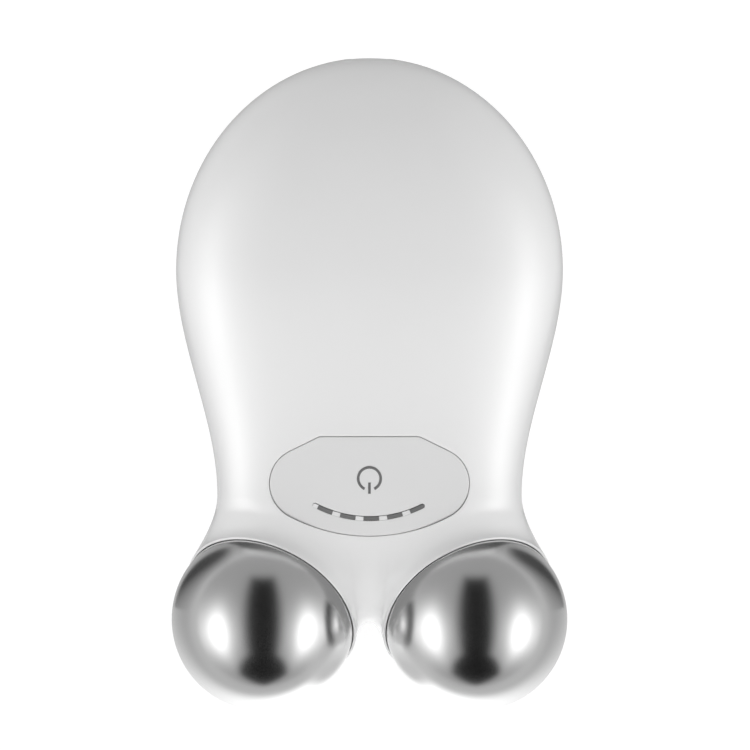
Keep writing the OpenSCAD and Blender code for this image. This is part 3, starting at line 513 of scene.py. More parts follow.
# %% [markdown]
# ## Hollowing and halving
# The wall is what is left when the smaller form is taken out. A ball, slightly larger than the sphere
# and cut flat at a ledge behind it, then reams each collar, and leaves a fine dark line round the
# metal. A hole is drilled for the charging port. Last, a wide box above the seam and one below it cut
# the hollow housing into a front and a rear shell, and both come out closed. A plane cut with a fill
# could do that too, but it would bridge the open collars.

# %% Hollow, ream the collars and cut in two
ledge_back = 6.55
housing = outer
combine(housing, inner, "DIFFERENCE")
for side in (-1, 1):
    centre, axis = ball_frame(side)
    mouth = add_ball("mouth", ball_r + lip_gap, side, 128)
    edit(mouth, lambda: keep_side(centre - ledge_back * axis, axis, True))
    combine(housing, mouth, "DIFFERENCE")

port_ring_r, port_face_y, fit = 4.2, 57.05, 0.05
port_hole = bar_between("port_hole", port_ring_r + fit, (0, 46, seam_z), (0, 62, seam_z))
combine(housing, port_hole, "DIFFERENCE")
rear = copy_of(housing, "rear_shell_skin")
front = housing
front.name = "front_shell_skin"
well_above, well_below = 60, -20
combine(front, slab(seam_z, well_above), "INTERSECT")
combine(rear, slab(well_below, seam_z), "INTERSECT")
print("front:", len(front.data.polygons), "rear:", len(rear.data.polygons))

# %% [markdown]
# ## The control key's outline
# The key is a flattened oval with a straight upper edge. It could be drawn as a Bezier curve, but its
# neighbours need lines that run parallel to it. So its outline is made of arcs that run into each
# other, and any parallel line, such as the edge of the opening round it, is the same outline grown by
# a fixed distance.

# %% Outline of the key
key_w, key_len, key_top_y = 34.6, 17.2, -9.1
key_flat, key_corner_r, key_side_r, key_low_r = 8.2, 2, 6.3, 29.8   # half the straight edge, then radii
key_low_y = key_top_y - key_len
key_mid_y = (key_top_y + key_low_y) / 2
end_x = key_w / 2 - key_side_r
low_c = key_low_y + key_low_r
end_y = low_c - math.sqrt((key_low_r - key_side_r) ** 2 - end_x ** 2)
corner_y = key_top_y - key_corner_r
join_low = math.degrees(math.atan2(end_y - low_c, end_x))
join_top = (math.degrees(math.atan2(end_y - corner_y, end_x - key_flat)) + 90
            + math.degrees(math.asin((key_side_r - key_corner_r)
                                     / math.hypot(end_x - key_flat, end_y - corner_y))))


def arc(cx, cy, r, a0, a1, n):
    return [(cx + r * cos_d(mix(a0, a1, i / n)), cy + r * sin_d(mix(a0, a1, i / n)))
            for i in range(n + 1)]


def straight(p, q, n):
    return [(mix(p[0], q[0], i / n), mix(p[1], q[1], i / n)) for i in range(n + 1)]


def key_loop(d):
    """The key's outline grown by d, counter-clockwise from the middle of its lower edge."""
    half = arc(0, low_c, key_low_r + d, -90, join_low, 30)
    half += arc(end_x, end_y, key_side_r + d, join_low, join_top, 40)[1:]
    corner = arc(key_flat, corner_y, key_corner_r + d, join_top, 90, 8)
    half += straight(half[-1], corner[0], 10)[1:] + corner[1:]
    half += straight(half[-1], (0, half[-1][1]), 12)[1:]
    return half + [(-x, y) for x, y in reversed(half[1:-1])]


print("points round the key:", len(key_loop(0)))

# %% [markdown]
# ### The key's crowned face
# A finger finds the key by its even, slightly domed face. The face is part of a large cylinder that is
# tilted like the neck. Its tilt and radius are measured from the skin at the key's edges, so that the
# key sits flush all round.

# %% Crown of the key
crown_top_z, crown_low_z = height_on(surface, 0, key_top_y), height_on(surface, 0, key_low_y)
crown_tilt = math.atan2(crown_top_z - crown_low_z, key_len)
crown_mid_z = (crown_top_z + crown_low_z) / 2
crown_drop = (crown_mid_z + (end_y - key_mid_y) * math.tan(crown_tilt)
              - height_on(surface, key_w / 2, end_y))
crown_r = ((key_w / 2) ** 2 + crown_drop ** 2) / (2 * crown_drop)


def crown_at(x, y, sink=0.0):
    """Height of the key's crowned face, or of a layer under it."""
    bulge = math.sqrt((crown_r - sink) ** 2 - x * x) - crown_r
    return crown_mid_z + (y - key_mid_y) * math.tan(crown_tilt) + bulge / math.cos(crown_tilt)


steps = [height_on(surface, x, y) - crown_at(x, y) for x, y in key_loop(0)]
print("crown radius:", round(crown_r, 1))
print("skin over the key's edge:", round(min(steps), 3), "to", round(max(steps), 3))

# %% [markdown]
# ## The opening for the key
# A moulded opening has a soft edge, and a plain cut would leave a razor edge. A bevel could round it,
# but a boolean leaves slivers beside its edge, and a bevel stumbles over them. So the tool that cuts
# the opening flares out at the top: it goes up through the wall, rolls outwards over a small radius and
# leaves the skin at a flat angle.

# %% Cut the opening with a rolled edge
def lifted(points, tree, sink=0.0):
    return [Vector((x, y, height_on(tree, x, y) - sink)) for x, y in points]


def level(points, z):
    return [Vector((x, y, z)) for x, y in points]


key_gap, key_round, flare, proud = 0.08, 0.2, 0.3, 0.05
low_z, top_z = 25, 40
cut_loops = [level([(0, key_mid_y)] * len(key_loop(0)), low_z), level(key_loop(key_gap), low_z)]
for a in range(0, 81, 16):
    cut_loops.append(lifted(key_loop(key_gap + key_round * (1 - cos_d(a))), surface,
                            key_round * (1 - sin_d(a))))
cut_loops.append(lifted(key_loop(key_gap + key_round + flare), surface, -proud))
cut_loops.append(level(key_loop(key_gap + key_round + flare), top_z))
cut_loops.append(level([(0, key_mid_y)] * len(key_loop(0)), top_z))
combine(front, loft("key_hole", cut_loops), "DIFFERENCE")
edit(front, face_outward)
smooth_shade(front)
bake_modifier(front, "WEIGHTED_NORMAL", keep_sharp=True, weight=80)
print("front shell:", len(front.data.polygons), "faces")

# %% [markdown]
# ## The rear shell's underside
# Four screws come up through columns and stay hidden under caps, and four rubber feet sit in pockets.
# A hole cut into the thin wall alone would show the hollow behind it. So the columns and bosses are
# grown onto the wall first, trimmed by a form that lies within the wall, and then drilled.

# %% Columns, screw holes and pockets for the feet
screw_places = [(x * s, y) for x, y in ((16, 36), (19, -1)) for s in (-1, 1)]
foot_places = [(x * s, y) for x, y in ((15, 24), (10, -17)) for s in (-1, 1)]
foot_r, foot_h, foot_wall = 4.2, 4.2, 1.2
column_r, head_r, head_top = 4, 2.45, 7.6
below_all = -1
trim = housing_form("trim_form", wall / 2, 18, 10, 16, 12, 10)
columns = [bar_between("column", column_r, (x, y, 0), (x, y, seam_z), 48) for x, y in screw_places]
columns += [bar_between("boss", foot_r + foot_wall, (x, y, 0), (x, y, foot_h + foot_wall), 48)
            for x, y in foot_places]
columns = joined(columns, "columns")
combine(trim, columns, "INTERSECT")
combine(rear, trim, "UNION")
drills = [bar_between("head", head_r, (x, y, below_all), (x, y, head_top), 48) for x, y in screw_places]
drills += [bar_between("pocket", foot_r + fit, (x, y, below_all), (x, y, foot_h), 64)
           for x, y in foot_places]
combine(rear, joined(drills, "drills"), "DIFFERENCE")
edit(rear, weld, fill_openings, face_outward)
smooth_shade(rear)
bake_modifier(rear, "WEIGHTED_NORMAL", keep_sharp=True, weight=80)
print("rear shell:", len(rear.data.polygons), "faces")

# %% [markdown]
# ## The control key
# A thin crowned shell: its face follows the housing, its edge is rolled like the opening's, and a
# flange under the housing keeps it in. One closed strip of loops, from the middle of the face round
# the edge to the middle of the underside, gives face, edge, skirt and flange in one piece.

# %% Loft the key
key_t, key_skirt, key_flange, flange_sink, key_base_z = 1.8, 1.2, 0.9, 2.3, 26.1
FACE_LOOPS, EDGE_LOOPS, UNDER_LOOPS = 22, 4, 6


def toward_middle(points, s):
    return [(s * x, mix(key_mid_y, y, s)) for x, y in points]


def on_crown(points, sink=0.0):
    return [Vector((x, y, crown_at(x, y, sink))) for x, y in points]


key_loops = [on_crown(toward_middle(key_loop(-key_round), i / FACE_LOOPS)) for i in range(FACE_LOOPS)]
key_loops.append(on_crown(key_loop(-key_round)))
for i in range(1, EDGE_LOOPS + 1):
    a = 90 * i / EDGE_LOOPS
    key_loops.append([p - Vector((0, 0, key_round * (1 - cos_d(a))))
                      for p in on_crown(key_loop(-key_round * (1 - sin_d(a))))])
key_loops.append(on_crown(key_loop(0), flange_sink))
key_loops.append(on_crown(key_loop(key_flange), flange_sink))
key_loops.append([Vector((x, y, key_base_z)) for x, y in key_loop(key_flange)])
key_loops.append([Vector((x, y, key_base_z)) for x, y in key_loop(-key_skirt)])
key_loops += [on_crown(toward_middle(key_loop(-key_skirt), i / UNDER_LOOPS), key_t)
              for i in range(UNDER_LOOPS, -1, -1)]
key = loft("control_key_face", key_loops)
print("key:", len(key.data.polygons), "faces")

# %% [markdown]
# ## Inlays of the key
# The power symbol is a broken ring with a bar, and below it runs a curved light strip with five smoked
# windows. On the real key they are second shots of plastic, flush with its face. They could be painted
# on by a mask, but then their edges would blur, so they are pieces of their own. Each is a thin band
# that is wrapped along its line on the crown and given a thickness.

# %% A band on the crown
BOW = 6   # steps in the round end of a band


def band(name, line, n, width, depth, grow=0.0, round_start=False, round_end=False):
    """A band that follows line(t) on the crown, for t from 0 to 1. One that is grown is a cutter."""
    rise = 0.5 if grow else 0
    width += 2 * grow
    length = sum(math.dist(line(k / 50), line((k + 1) / 50)) for k in range(50))
    start, end, bow = -grow / length, 1 + grow / length, width / 2 / length
    turns = [90 * i / BOW for i in range(BOW)]
    stations = [(start + bow * (1 - sin_d(90 - a)), sin_d(a)) for a in turns] if round_start else []
    inner_start = start + bow if round_start else start
    inner_end = end - bow if round_end else end
    stations += [(mix(inner_start, inner_end, k / n), 1) for k in range(n + 1)]
    if round_end:
        stations += [(end - bow * (1 - sin_d(90 - a)), sin_d(a)) for a in reversed(turns)]

    def place(k, i):
        t, narrow = stations[k]
        x, y = line(t)
        ahead, back = line(t + 0.01), line(t - 0.01)
        across = Vector((back[1] - ahead[1], ahead[0] - back[0], 0)).normalized()
        p = Vector((x, y, 0)) + (i / 2 - 0.5) * width * narrow * across
        return Vector((p.x, p.y, crown_at(p.x, p.y) + rise))

    sheet = wrapped_sheet(name, len(stations) - 1, 2, place)
    edit(sheet, weld, face_outward)
    if sheet.data.polygons[0].normal.z < 0:
        edit(sheet, lambda: bpy.ops.mesh.flip_normals())
    return bake_modifier(sheet, "SOLIDIFY", thickness=(depth + rise + grow) * MM, offset=-1)


# %% [markdown]
# ### The symbol, the windows and the strip
# Each line is a function from 0 to 1, so that one band can follow a ring, a bar and an arc. The
# windows stand along the strip at an even pitch.

# %% Lines and bands of the inlays
switch_y, symbol_r, symbol_line, symbol_t = -16.4, 2.17, 0.42, 0.3
strip_y, strip_r, strip_w = -2.75, 20.6, 0.72
window_count, window_a, window_pitch, window_t = 5, 7.5, 11.45, 0.5
strip_cap_a, strip_shift, symbol_gap_a = 2.6, 0.9, 26
bar_top, seat_spare = 0.7, 0.4
hair, strip_hair = 0.03, 0.08


def ring_line(t):
    a = mix(-90 + symbol_gap_a, 270 - symbol_gap_a, t)
    r = symbol_r - symbol_line / 2
    return r * cos_d(a), switch_y + r * sin_d(a)


def bar_line(t):
    return 0.0, mix(switch_y - bar_top, switch_y - symbol_r - symbol_line, t)


def strip_line(a0, a1):
    return lambda t: (strip_r * sin_d(mix(a0, a1, t)), strip_y - strip_r * cos_d(mix(a0, a1, t)))


def window_start(i):
    return (i - (window_count - 1) / 2) * window_pitch - window_a / 2 + strip_shift


def symbol_bands(name, grow=0.0):
    return joined([band("ring", ring_line, 64, symbol_line, symbol_t, grow),
                   band("bar", bar_line, 4, symbol_line, symbol_t, grow)], name)


def window_bands(name, grow=0.0):
    """The last window ends where the strip ends, and is rounded like it."""
    return joined([band("window", strip_line(window_start(i), window_start(i) + window_a), 10,
                        strip_w, window_t, grow, round_end=i == window_count - 1)
                   for i in range(window_count)], name)


def strip_band(name, depth, grow=0.0):
    line = strip_line(window_start(0) - strip_cap_a, window_start(window_count - 1) + window_a)
    return band(name, line, 60, strip_w, depth, grow, True, True)


print("windows start at", [round(window_start(i), 1) for i in range(window_count)], "degrees")

# %% [markdown]
# ### Seats for the inlays
# The same band, grown by a hair, cuts its seat into the key's face, and the windows' seats are cut
# into the strip. So no two faces lie on each other, and a fine line shows round each inlay.

# %% Cut the seats and lay the inlays in
combine(key, symbol_bands("symbol_seat", hair), "DIFFERENCE")
combine(key, strip_band("strip_seat", key_t + seat_spare, strip_hair), "DIFFERENCE")
symbol = symbol_bands("power_symbol_inlay")
windows = window_bands("indicator_windows_inlay")
strip = strip_band("light_strip_inlay", key_t)
combine(strip, window_bands("window_seats", hair), "DIFFERENCE")
for piece in (key, symbol, windows, strip):
    edit(piece, face_outward)
    smooth_shade(piece)
print("inlays:", len(symbol.data.polygons), len(windows.data.polygons), len(strip.data.polygons))

# %% [markdown]
# ## The chromed spheres
# Each is a drawn metal shell, open at the back where a plate closes it. A smooth primitive could stand
# for it whole, but a mirror shows every facet and every missing edge. So a fine ball is cut at that
# plane, given its wall, and the cut edge is broken with a small bevel. Its pole lies on the collar's
# axis, where no reflection would show a pinch.


# %% Two shells
edge_bevel, near_cut, sharp = 0.15, 0.6, 0.8


def chrome_shell(name, side):
    centre, axis = ball_frame(side)
    shell = add_ball(name, ball_r, side, 160)
    edit(shell, lambda: keep_side(centre - ball_cut * axis, axis, False))
    bake_modifier(shell, "SOLIDIFY", thickness=ball_wall * MM, offset=-1, use_even_offset=True)

    def break_edge():
        def at_cut(edge):
            ends = [v.co / MM - centre for v in edge.verts]
            on_outside = all(p.length > ball_r - 0.01 for p in ends)
            on_plane = all(abs(p.dot(axis) + ball_cut) < near_cut for p in ends)
            return on_outside and on_plane and edge.calc_face_angle(0) > sharp

        select_where(shell, "EDGE", at_cut)
        bpy.ops.mesh.bevel(offset=edge_bevel * MM, segments=2)

    edit(shell, break_edge)
    return smooth_shade(shell)


spheres = [chrome_shell("left_sphere_chrome", -1), chrome_shell("right_sphere_chrome", 1)]
print("sphere:", len(spheres[0].data.polygons), "faces")

# %% [markdown]
# ## Feet and screw caps
# Small round pieces start as cylinders. A soft foot is moulded with a generous round edge and a shallow
# dish under it, which helps it to cling. A cap only has a fine bevel, so that it can be pressed in.


# %% Feet and caps
foot_round, dish_rim, dish_depth = 0.8, 0.9, 0.25
cap_r, cap_low, cap_top, cap_bevel = 2.4, 4.5, 5.95, 0.25


def end_edges(z):
    """Picks the rim of a disc at height z."""
    return lambda edge: (all(abs(v.co.z / MM - z) < 0.01 for v in edge.verts)
                         and edge.calc_face_angle(0) > 0.5)


def foot_at(x, y):
    foot = bar_between("foot", foot_r, (x, y, 0), (x, y, foot_h - fit), 72)

    def round_edge():
        select_where(foot, "EDGE", end_edges(0))
        bpy.ops.mesh.bevel(offset=foot_round * MM, segments=6)

    def dish():
        select_where(foot, "FACE", lambda face: face.normal.z < -0.9999)
        bpy.ops.mesh.inset(thickness=dish_rim * MM)
        bpy.ops.mesh.inset(thickness=dish_depth * MM, depth=-dish_depth * MM)

    return edit(foot, round_edge, dish)


def cap_at(x, y):
    cap = bar_between("cap", cap_r, (x, y, cap_low), (x, y, cap_top), 56)

    def round_edge():
        select_where(cap, "EDGE", end_edges(cap_low))
        bpy.ops.mesh.bevel(offset=cap_bevel * MM, segments=3)

    return edit(cap, round_edge)


feet = smooth_shade(joined([foot_at(x, y) for x, y in foot_places], "rubber_feet_moulded"))
caps = smooth_shade(joined([cap_at(x, y) for x, y in screw_places], "screw_caps_moulded"))
print("feet:", len(feet.data.polygons), "caps:", len(caps.data.polygons), "faces")

# %% [markdown]
# ## The port ring
# A small ring lines the charging port in the palm's end. It is a turned part: a rounded front, a bore
# that takes the plug, a seat for the jack and a flange that holds it behind the wall. Its section is
# listed once, as radius and place along the axis, and lofted round.


# %% Port ring
def ring_circle(radius, y):
    return [Vector((radius * sin_d(a), y, seam_z + radius * cos_d(a))) for a in range(0, 360, 5)]


plug_r, jack_r, flange_r = 2.6, 3, 5.4
flange_front_y, flange_back_y, jack_front_y = 53.25, 52.05, 54.05
port_profile = [
    (plug_r, port_face_y - 0.42), (2.67, port_face_y - 0.26), (2.85, port_face_y - 0.19),
    (3.9, port_face_y - 0.45), (4.08, port_face_y - 0.52), (port_ring_r, port_face_y - 0.68),
    (port_ring_r, flange_front_y), (flange_r, flange_front_y), (flange_r, flange_back_y),
    (jack_r, flange_back_y), (jack_r, jack_front_y), (plug_r, jack_front_y),
    (plug_r, port_face_y - 0.42)]
port_ring = smooth_shade(loft("port_ring_turned", [ring_circle(r, y) for r, y in port_profile]))
print("port ring:", len(port_ring.data.polygons), "faces")

# %% [markdown]
# ## Shared effects for the materials
# An effect that several finishes need is laid out once, as a node group with named inputs, and placed
# in each material with that material's own values. Three small helpers add the nodes: a new group, a
# noise and a map range.


# %% Helpers for node groups
def new_group(name, inputs, outputs):
    group = bpy.data.node_groups.new(name, "ShaderNodeTree")
    for label, value in inputs:
        socket = group.interface.new_socket(label, in_out="INPUT", socket_type="NodeSocketFloat")
        socket.default_value = value
    for label in outputs:
        group.interface.new_socket(label, in_out="OUTPUT", socket_type="NodeSocketFloat")
    return group, group.nodes.new("NodeGroupInput"), group.nodes.new("NodeGroupOutput")


def noise(tree, vector, scale, detail, roughness=0.5):
    node = tree.nodes.new("ShaderNodeTexNoise")
    tree.links.new(vector, node.inputs["Vector"])
    if isinstance(scale, (int, float)):
        node.inputs["Scale"].default_value = scale
    else:
        tree.links.new(scale, node.inputs["Scale"])
    node.inputs["Detail"].default_value = detail
    node.inputs["Roughness"].default_value = roughness
    return node.outputs["Fac"]


def ranged(tree, value, low, high, out_low=0.0, out_high=1.0):
    node = tree.nodes.new("ShaderNodeMapRange")
    tree.links.new(value, node.inputs["Value"])
    for label, number in (("From Min", low), ("From Max", high), ("To Min", out_low), ("To Max", out_high)):
        if isinstance(number, (int, float)):
            node.inputs[label].default_value = number
        else:
            tree.links.new(number, node.inputs[label])
    return node.outputs["Result"]


# %% [markdown]
# ### Moulded plastic
# Moulded plastic is never perfectly even: it has a faint orange-peel surface and a slight drift of
# tone. An image texture could give both, but its seams would show on a form without seams. Noise in
# the object's own space has none: a fine one for the height and a wide one for the tone.

# %% The moulded surface
moulded, given, out = new_group("moulded_surface", [("Grain", 900.0), ("Drift", 25.0)], ["Tone", "Height"])
place = moulded.nodes.new("ShaderNodeTexCoord").outputs["Object"]
drift = noise(moulded, place, given.outputs["Drift"], 3)
moulded.links.new(ranged(moulded, drift, 0.3, 0.7), out.inputs["Tone"])
moulded.links.new(noise(moulded, place, given.outputs["Grain"], 2), out.inputs["Height"])
print("moulded surface:", len(moulded.nodes), "nodes")

# %% [markdown]
# ### Smudges
# What is held in the hand carries soft smudges, which are seen only because they change the gloss. So
# this group gives no colour, but a roughness between a least and a most.

# %% Soft smudges
smudged, given, out = new_group("soft_smudges", [("Size", 60.0), ("Least", 0.3), ("Most", 0.4)],
                                ["Roughness"])
place = smudged.nodes.new("ShaderNodeTexCoord").outputs["Object"]
blots = noise(smudged, place, given.outputs["Size"], 4, 0.6)
smudged.links.new(ranged(smudged, blots, 0.35, 0.7, given.outputs["Least"], given.outputs["Most"]),
                  out.inputs["Roughness"])
print("soft smudges:", len(smudged.nodes), "nodes")

# %% [markdown]
# ### Drawn metal
# Screws and terminals are drawn or turned, which leaves fine lines along one direction. The same noise,
# squeezed to a twentieth along Z, gives them.

# %% Drawn lines
drawn, given, out = new_group("drawn_lines", [("Lines", 1500.0)], ["Tone", "Height"])
place = drawn.nodes.new("ShaderNodeTexCoord").outputs["Object"]
stretch = drawn.nodes.new("ShaderNodeMapping")
stretch.inputs["Scale"].default_value = (1, 1, 0.05)
drawn.links.new(place, stretch.inputs["Vector"])
lines = noise(drawn, stretch.outputs["Vector"], given.outputs["Lines"], 3)
drawn.links.new(ranged(drawn, lines, 0.3, 0.7), out.inputs["Tone"])
drawn.links.new(lines, out.inputs["Height"])
print("drawn lines:", len(drawn.nodes), "nodes")

# %% [markdown]
# ## Materials
# All finishes on this device are laid out alike, so one function does it: an effect's tone mixes two
# close colours, smudges set the roughness, and the fine surface goes through a bump. What is the same
# all over, such as metalness or a clear coat, is set on the shader itself.


# %% The material builder
MATERIALS = {}


def finish_material(name, dark, light, rough, effect="moulded_surface", grain=900.0, drift=25.0, size=60.0,
                    bump=0.05, **plain):
    """Lays out a finish and keeps it under its slot's name."""
    material = bpy.data.materials.new(name)
    material.use_nodes = True
    tree = material.node_tree
    shader = tree.nodes["Principled BSDF"]
    skin = tree.nodes.new("ShaderNodeGroup")
    skin.node_tree = bpy.data.node_groups[effect]
    if effect == "moulded_surface":
        skin.inputs["Grain"].default_value = grain
        skin.inputs["Drift"].default_value = drift
    else:
        skin.inputs["Lines"].default_value = grain
    colour = tree.nodes.new("ShaderNodeMix")
    colour.data_type = "RGBA"
    colour.inputs["A"].default_value = (*dark, 1)
    colour.inputs["B"].default_value = (*light, 1)
    tree.links.new(skin.outputs["Tone"], colour.inputs["Factor"])
    tree.links.new(colour.outputs["Result"], shader.inputs["Base Color"])
    gloss = tree.nodes.new("ShaderNodeGroup")
    gloss.node_tree = bpy.data.node_groups["soft_smudges"]
    for label, value in (("Size", size), ("Least", rough[0]), ("Most", rough[1])):
        gloss.inputs[label].default_value = value
    tree.links.new(gloss.outputs["Roughness"], shader.inputs["Roughness"])
    if bump:
        node = tree.nodes.new("ShaderNodeBump")
        node.inputs["Strength"].default_value = bump
        node.inputs["Distance"].default_value = 0.0001
        tree.links.new(skin.outputs["Height"], node.inputs["Height"])
        tree.links.new(node.outputs["Normal"], shader.inputs["Normal"])
    for label, value in plain.items():
        shader.inputs[label.replace("_", " ")].default_value = value
    MATERIALS[name] = material


# %% [markdown]
# ### Skin, key and inlays
# The skin is white plastic under a clear, slightly soft lacquer, which gives its long even highlights.
# A mere low roughness would do that too, but it would sharpen every reflection of the spheres. The key
# is a satin grey without lacquer, so that it reads as a piece of its own, and its inlays are smoked or
# milky plastic, with a finer drift of tone because they are so small.

# %% Skin, key and inlays
def grey(v, warmth=0.0):
    return (v * (1 + warmth), v, v * (1 - warmth))


lacquer = {"Specular_IOR_Level": 1.0, "Coat_Weight": 1.0, "Coat_Roughness": 0.25}
finish_material("white_plastic", grey(0.79), grey(0.81), (0.3, 0.36), bump=0.02, **lacquer)
finish_material("key_plastic", grey(0.675), grey(0.695), (0.42, 0.48), bump=0.03, Specular_IOR_Level=0.5)
finish_material("smoke_plastic", grey(0.135), grey(0.165), (0.4, 0.5), drift=400.0)
finish_material("light_plastic", grey(0.70), grey(0.75), (0.3, 0.4), drift=300.0)
print("finishes:", sorted(MATERIALS))

# %% [markdown]
# ### Chrome
# The spheres are plated and polished. A perfect mirror would show every edge of the set, and real
# plating on a pressed shell is a little soft, so it keeps some roughness. It has no bump at all, since
# a mirror shows the least of it.

# %% Chrome
finish_material("sphere_chrome", grey(0.79), grey(0.81), (0.2, 0.24), bump=0.0, Metallic=1.0)
print("finishes:", len(MATERIALS))

# %% [markdown]
# ### Feet and plain plastics
# Caps, plugs and sockets are plain nylon, chips and cradles black plastic, both matte. The feet are soft
# rubber, rough all over, with a fine grain of their own.

# %% Feet and plain plastics
finish_material("white_matte", grey(0.70, 0.01), grey(0.75, 0.01), (0.5, 0.62))
finish_material("black_plastic", grey(0.012), grey(0.02), (0.45, 0.6), bump=0.12)
finish_material("rubber_grey", grey(0.075), grey(0.1), (0.75, 0.88), grain=1600.0, bump=0.25)
print("finishes:", len(MATERIALS))

# %% [markdown]
# ### Screws, terminals, board and wires
# These stay inside and are seen only when the shells are taken off. The metals get the drawn lines, the
# board a patchy green mask, the cell its blue sleeve and the wires red and white insulation.

# %% Screws, terminals, board and wires
metal = {"effect": "drawn_lines", "Metallic": 1.0}
finish_material("steel", grey(0.52), grey(0.62), (0.28, 0.4), **metal)
finish_material("brass", (0.66, 0.52, 0.26), (0.76, 0.62, 0.33), (0.28, 0.42), **metal)
finish_material("board_green", (0.012, 0.10, 0.04), (0.02, 0.15, 0.06), (0.25, 0.35), drift=180.0)
finish_material("cell_wrap", (0.05, 0.13, 0.36), (0.07, 0.16, 0.42), (0.22, 0.34))
finish_material("wire_red", (0.48, 0.03, 0.025), (0.56, 0.04, 0.03), (0.38, 0.5))
finish_material("wire_white", grey(0.68, 0.01), grey(0.74, 0.01), (0.38, 0.5))
print("finishes:", len(MATERIALS))

# %% [markdown]
# ## Who stands for what
# Each new piece takes a finish, rides on its body and replaces its node of the frame, so that the key
# and its inlays sink together when the key is pressed. All other nodes stay as they are, with the
# material of their own slot.

# %% Finish and place every piece
PIECES = [
    (front, "white_plastic", "housing", ["front_shell"]),
    (rear, "white_plastic", "housing", ["rear_shell"]),
    (key, "key_plastic", "key", ["control_key"]),
    (symbol, "smoke_plastic", "key", ["power_symbol"]),
    (strip, "light_plastic", "key", ["light_strip"]),
    (windows, "smoke_plastic", "key", ["indicator_windows"]),
    (spheres[0], "sphere_chrome", "housing", ["left_sphere"]),
    (spheres[1], "sphere_chrome", "housing", ["right_sphere"]),
    (feet, "rubber_grey", "housing", ["rubber_feet"]),
    (caps, "white_matte", "housing", ["screw_caps"]),
    (port_ring, "key_plastic", "housing", ["port_ring"]),
]
for piece, slot, body, replaced in PIECES:
    piece.data.materials.clear()
    piece.data.materials.append(MATERIALS[slot])
    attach(piece, body)
    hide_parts(*replaced)
for row in frame["record"]["subparts"]:
    node = nodes[row["node"]]
    node.data.materials.clear()
    node.data.materials.append(MATERIALS[row["material_slot"]])
print("pieces:", len(PIECES))

# %% [markdown]
# ## Camera
# A long lens looks straight down on the device, as catalogues show such things, so that the spheres and
# the palm keep their true proportions. An orthographic camera would do that too, but even a long lens
# shows a trace of a thing's flanks, and looks more real for it. The camera's height follows from the
# width of the frame at the seam.

# %% Camera
FRAME_WIDTH = 0.13125   # metres at the seam
FRAME_MIDDLE = (0.00096, 0.00158)
LENS, SENSOR = 300, 36
camera_data = bpy.data.cameras.new("camera")
camera_data.lens, camera_data.sensor_width = LENS, SENSOR
camera_data.clip_start, camera_data.clip_end = 0.05, 60
camera = bpy.data.objects.new("camera", camera_data)
camera.location = (*FRAME_MIDDLE, seam_z * MM + FRAME_WIDTH * LENS / SENSOR)
bpy.context.scene.collection.objects.link(camera)
bpy.context.scene.camera = camera
print("camera height:", round(camera.location.z, 3))

# %% [markdown]
# ## Light
# Large softboxes stand left, right and in front, so that light comes from all sides but the palm's
# far end, and white plastic keeps a soft shade at its edges. They give diffuse light only, because a
# mirror would show them as hard bright squares. What polished metal and lacquer mirror is built
# separately, below.


# %% Softboxes
def softbox(name, direction, distance, size, radiance):
    """An area light in a direction (across, along) in degrees from straight up, aimed at the device."""
    data = bpy.data.lights.new(name, "AREA")
    data.shape = "RECTANGLE"
    data.size, data.size_y = size
    data.energy = radiance * math.pi * size[0] * size[1]
    light = bpy.data.objects.new(name, data)
    across, along = direction
    light.location = distance * Vector((sin_d(across) * cos_d(along), sin_d(along),
                                        cos_d(across) * cos_d(along)))
    light.rotation_euler = light.location.to_track_quat("Z", "Y").to_euler()
    light.visible_camera = light.visible_glossy = False
    bpy.context.scene.collection.objects.link(light)
    return light


softbox("softbox_left", (-64, -6), 1.5, (1.4, 1.4), 2.2)
softbox("softbox_right", (64, -6), 1.5, (1.4, 1.4), 2.2)
softbox("softbox_front", (0, -68), 1.5, (1.6, 1.0), 1.7)
print("lights:", len(bpy.data.lights))

# %% [markdown]
# ### A soft bell for the set
# The cloths and cards of the set glow softly round a middle and fade to both sides. One small group
# gives that curve. The other helpers add a sum or a product, a place in the set, and a material that
# only glows.

# %% Helpers for the set's own materials
bell, given, out = new_group("bell", [("Value", 0.0), ("Middle", 0.0), ("Spread", 10.0)], ["Amount"])


def math_node(tree, operation, *values):
    node = tree.nodes.new("ShaderNodeMath")
    node.operation = operation
    for socket, value in zip(node.inputs, values):
        if isinstance(value, (int, float)):
            socket.default_value = value
        else:
            tree.links.new(value, socket)
    return node.outputs["Value"]


away = math_node(bell, "DIVIDE", math_node(bell, "SUBTRACT", given.outputs["Value"],
                                           given.outputs["Middle"]), given.outputs["Spread"])
bell.links.new(math_node(bell, "EXPONENT", math_node(bell, "MULTIPLY", math_node(
    bell, "MULTIPLY", away, away), -1.0)), out.inputs["Amount"])


def bell_at(tree, value, middle, spread):
    """1 where the value is at the middle, fading out softly to both sides."""
    node = tree.nodes.new("ShaderNodeGroup")
    node.node_tree = bell
    tree.links.new(value, node.inputs["Value"])
    node.inputs["Middle"].default_value = middle
    node.inputs["Spread"].default_value = spread
    return node.outputs["Amount"]


def place_on(tree):
    """X, Y and Z of a point on the set, in metres."""
    split = tree.nodes.new("ShaderNodeSeparateXYZ")
    tree.links.new(tree.nodes.new("ShaderNodeTexCoord").outputs["Object"], split.inputs["Vector"])
    return split.outputs["X"], split.outputs["Y"], split.outputs["Z"]


def glowing(name):
    """A material with one emission shader, not yet linked. Returns material, tree and shader."""
    material = bpy.data.materials.new(name)
    material.use_nodes = True
    tree = material.node_tree
    tree.nodes.remove(tree.nodes["Principled BSDF"])
    emission = tree.nodes.new("ShaderNodeEmission")
    return material, tree, emission


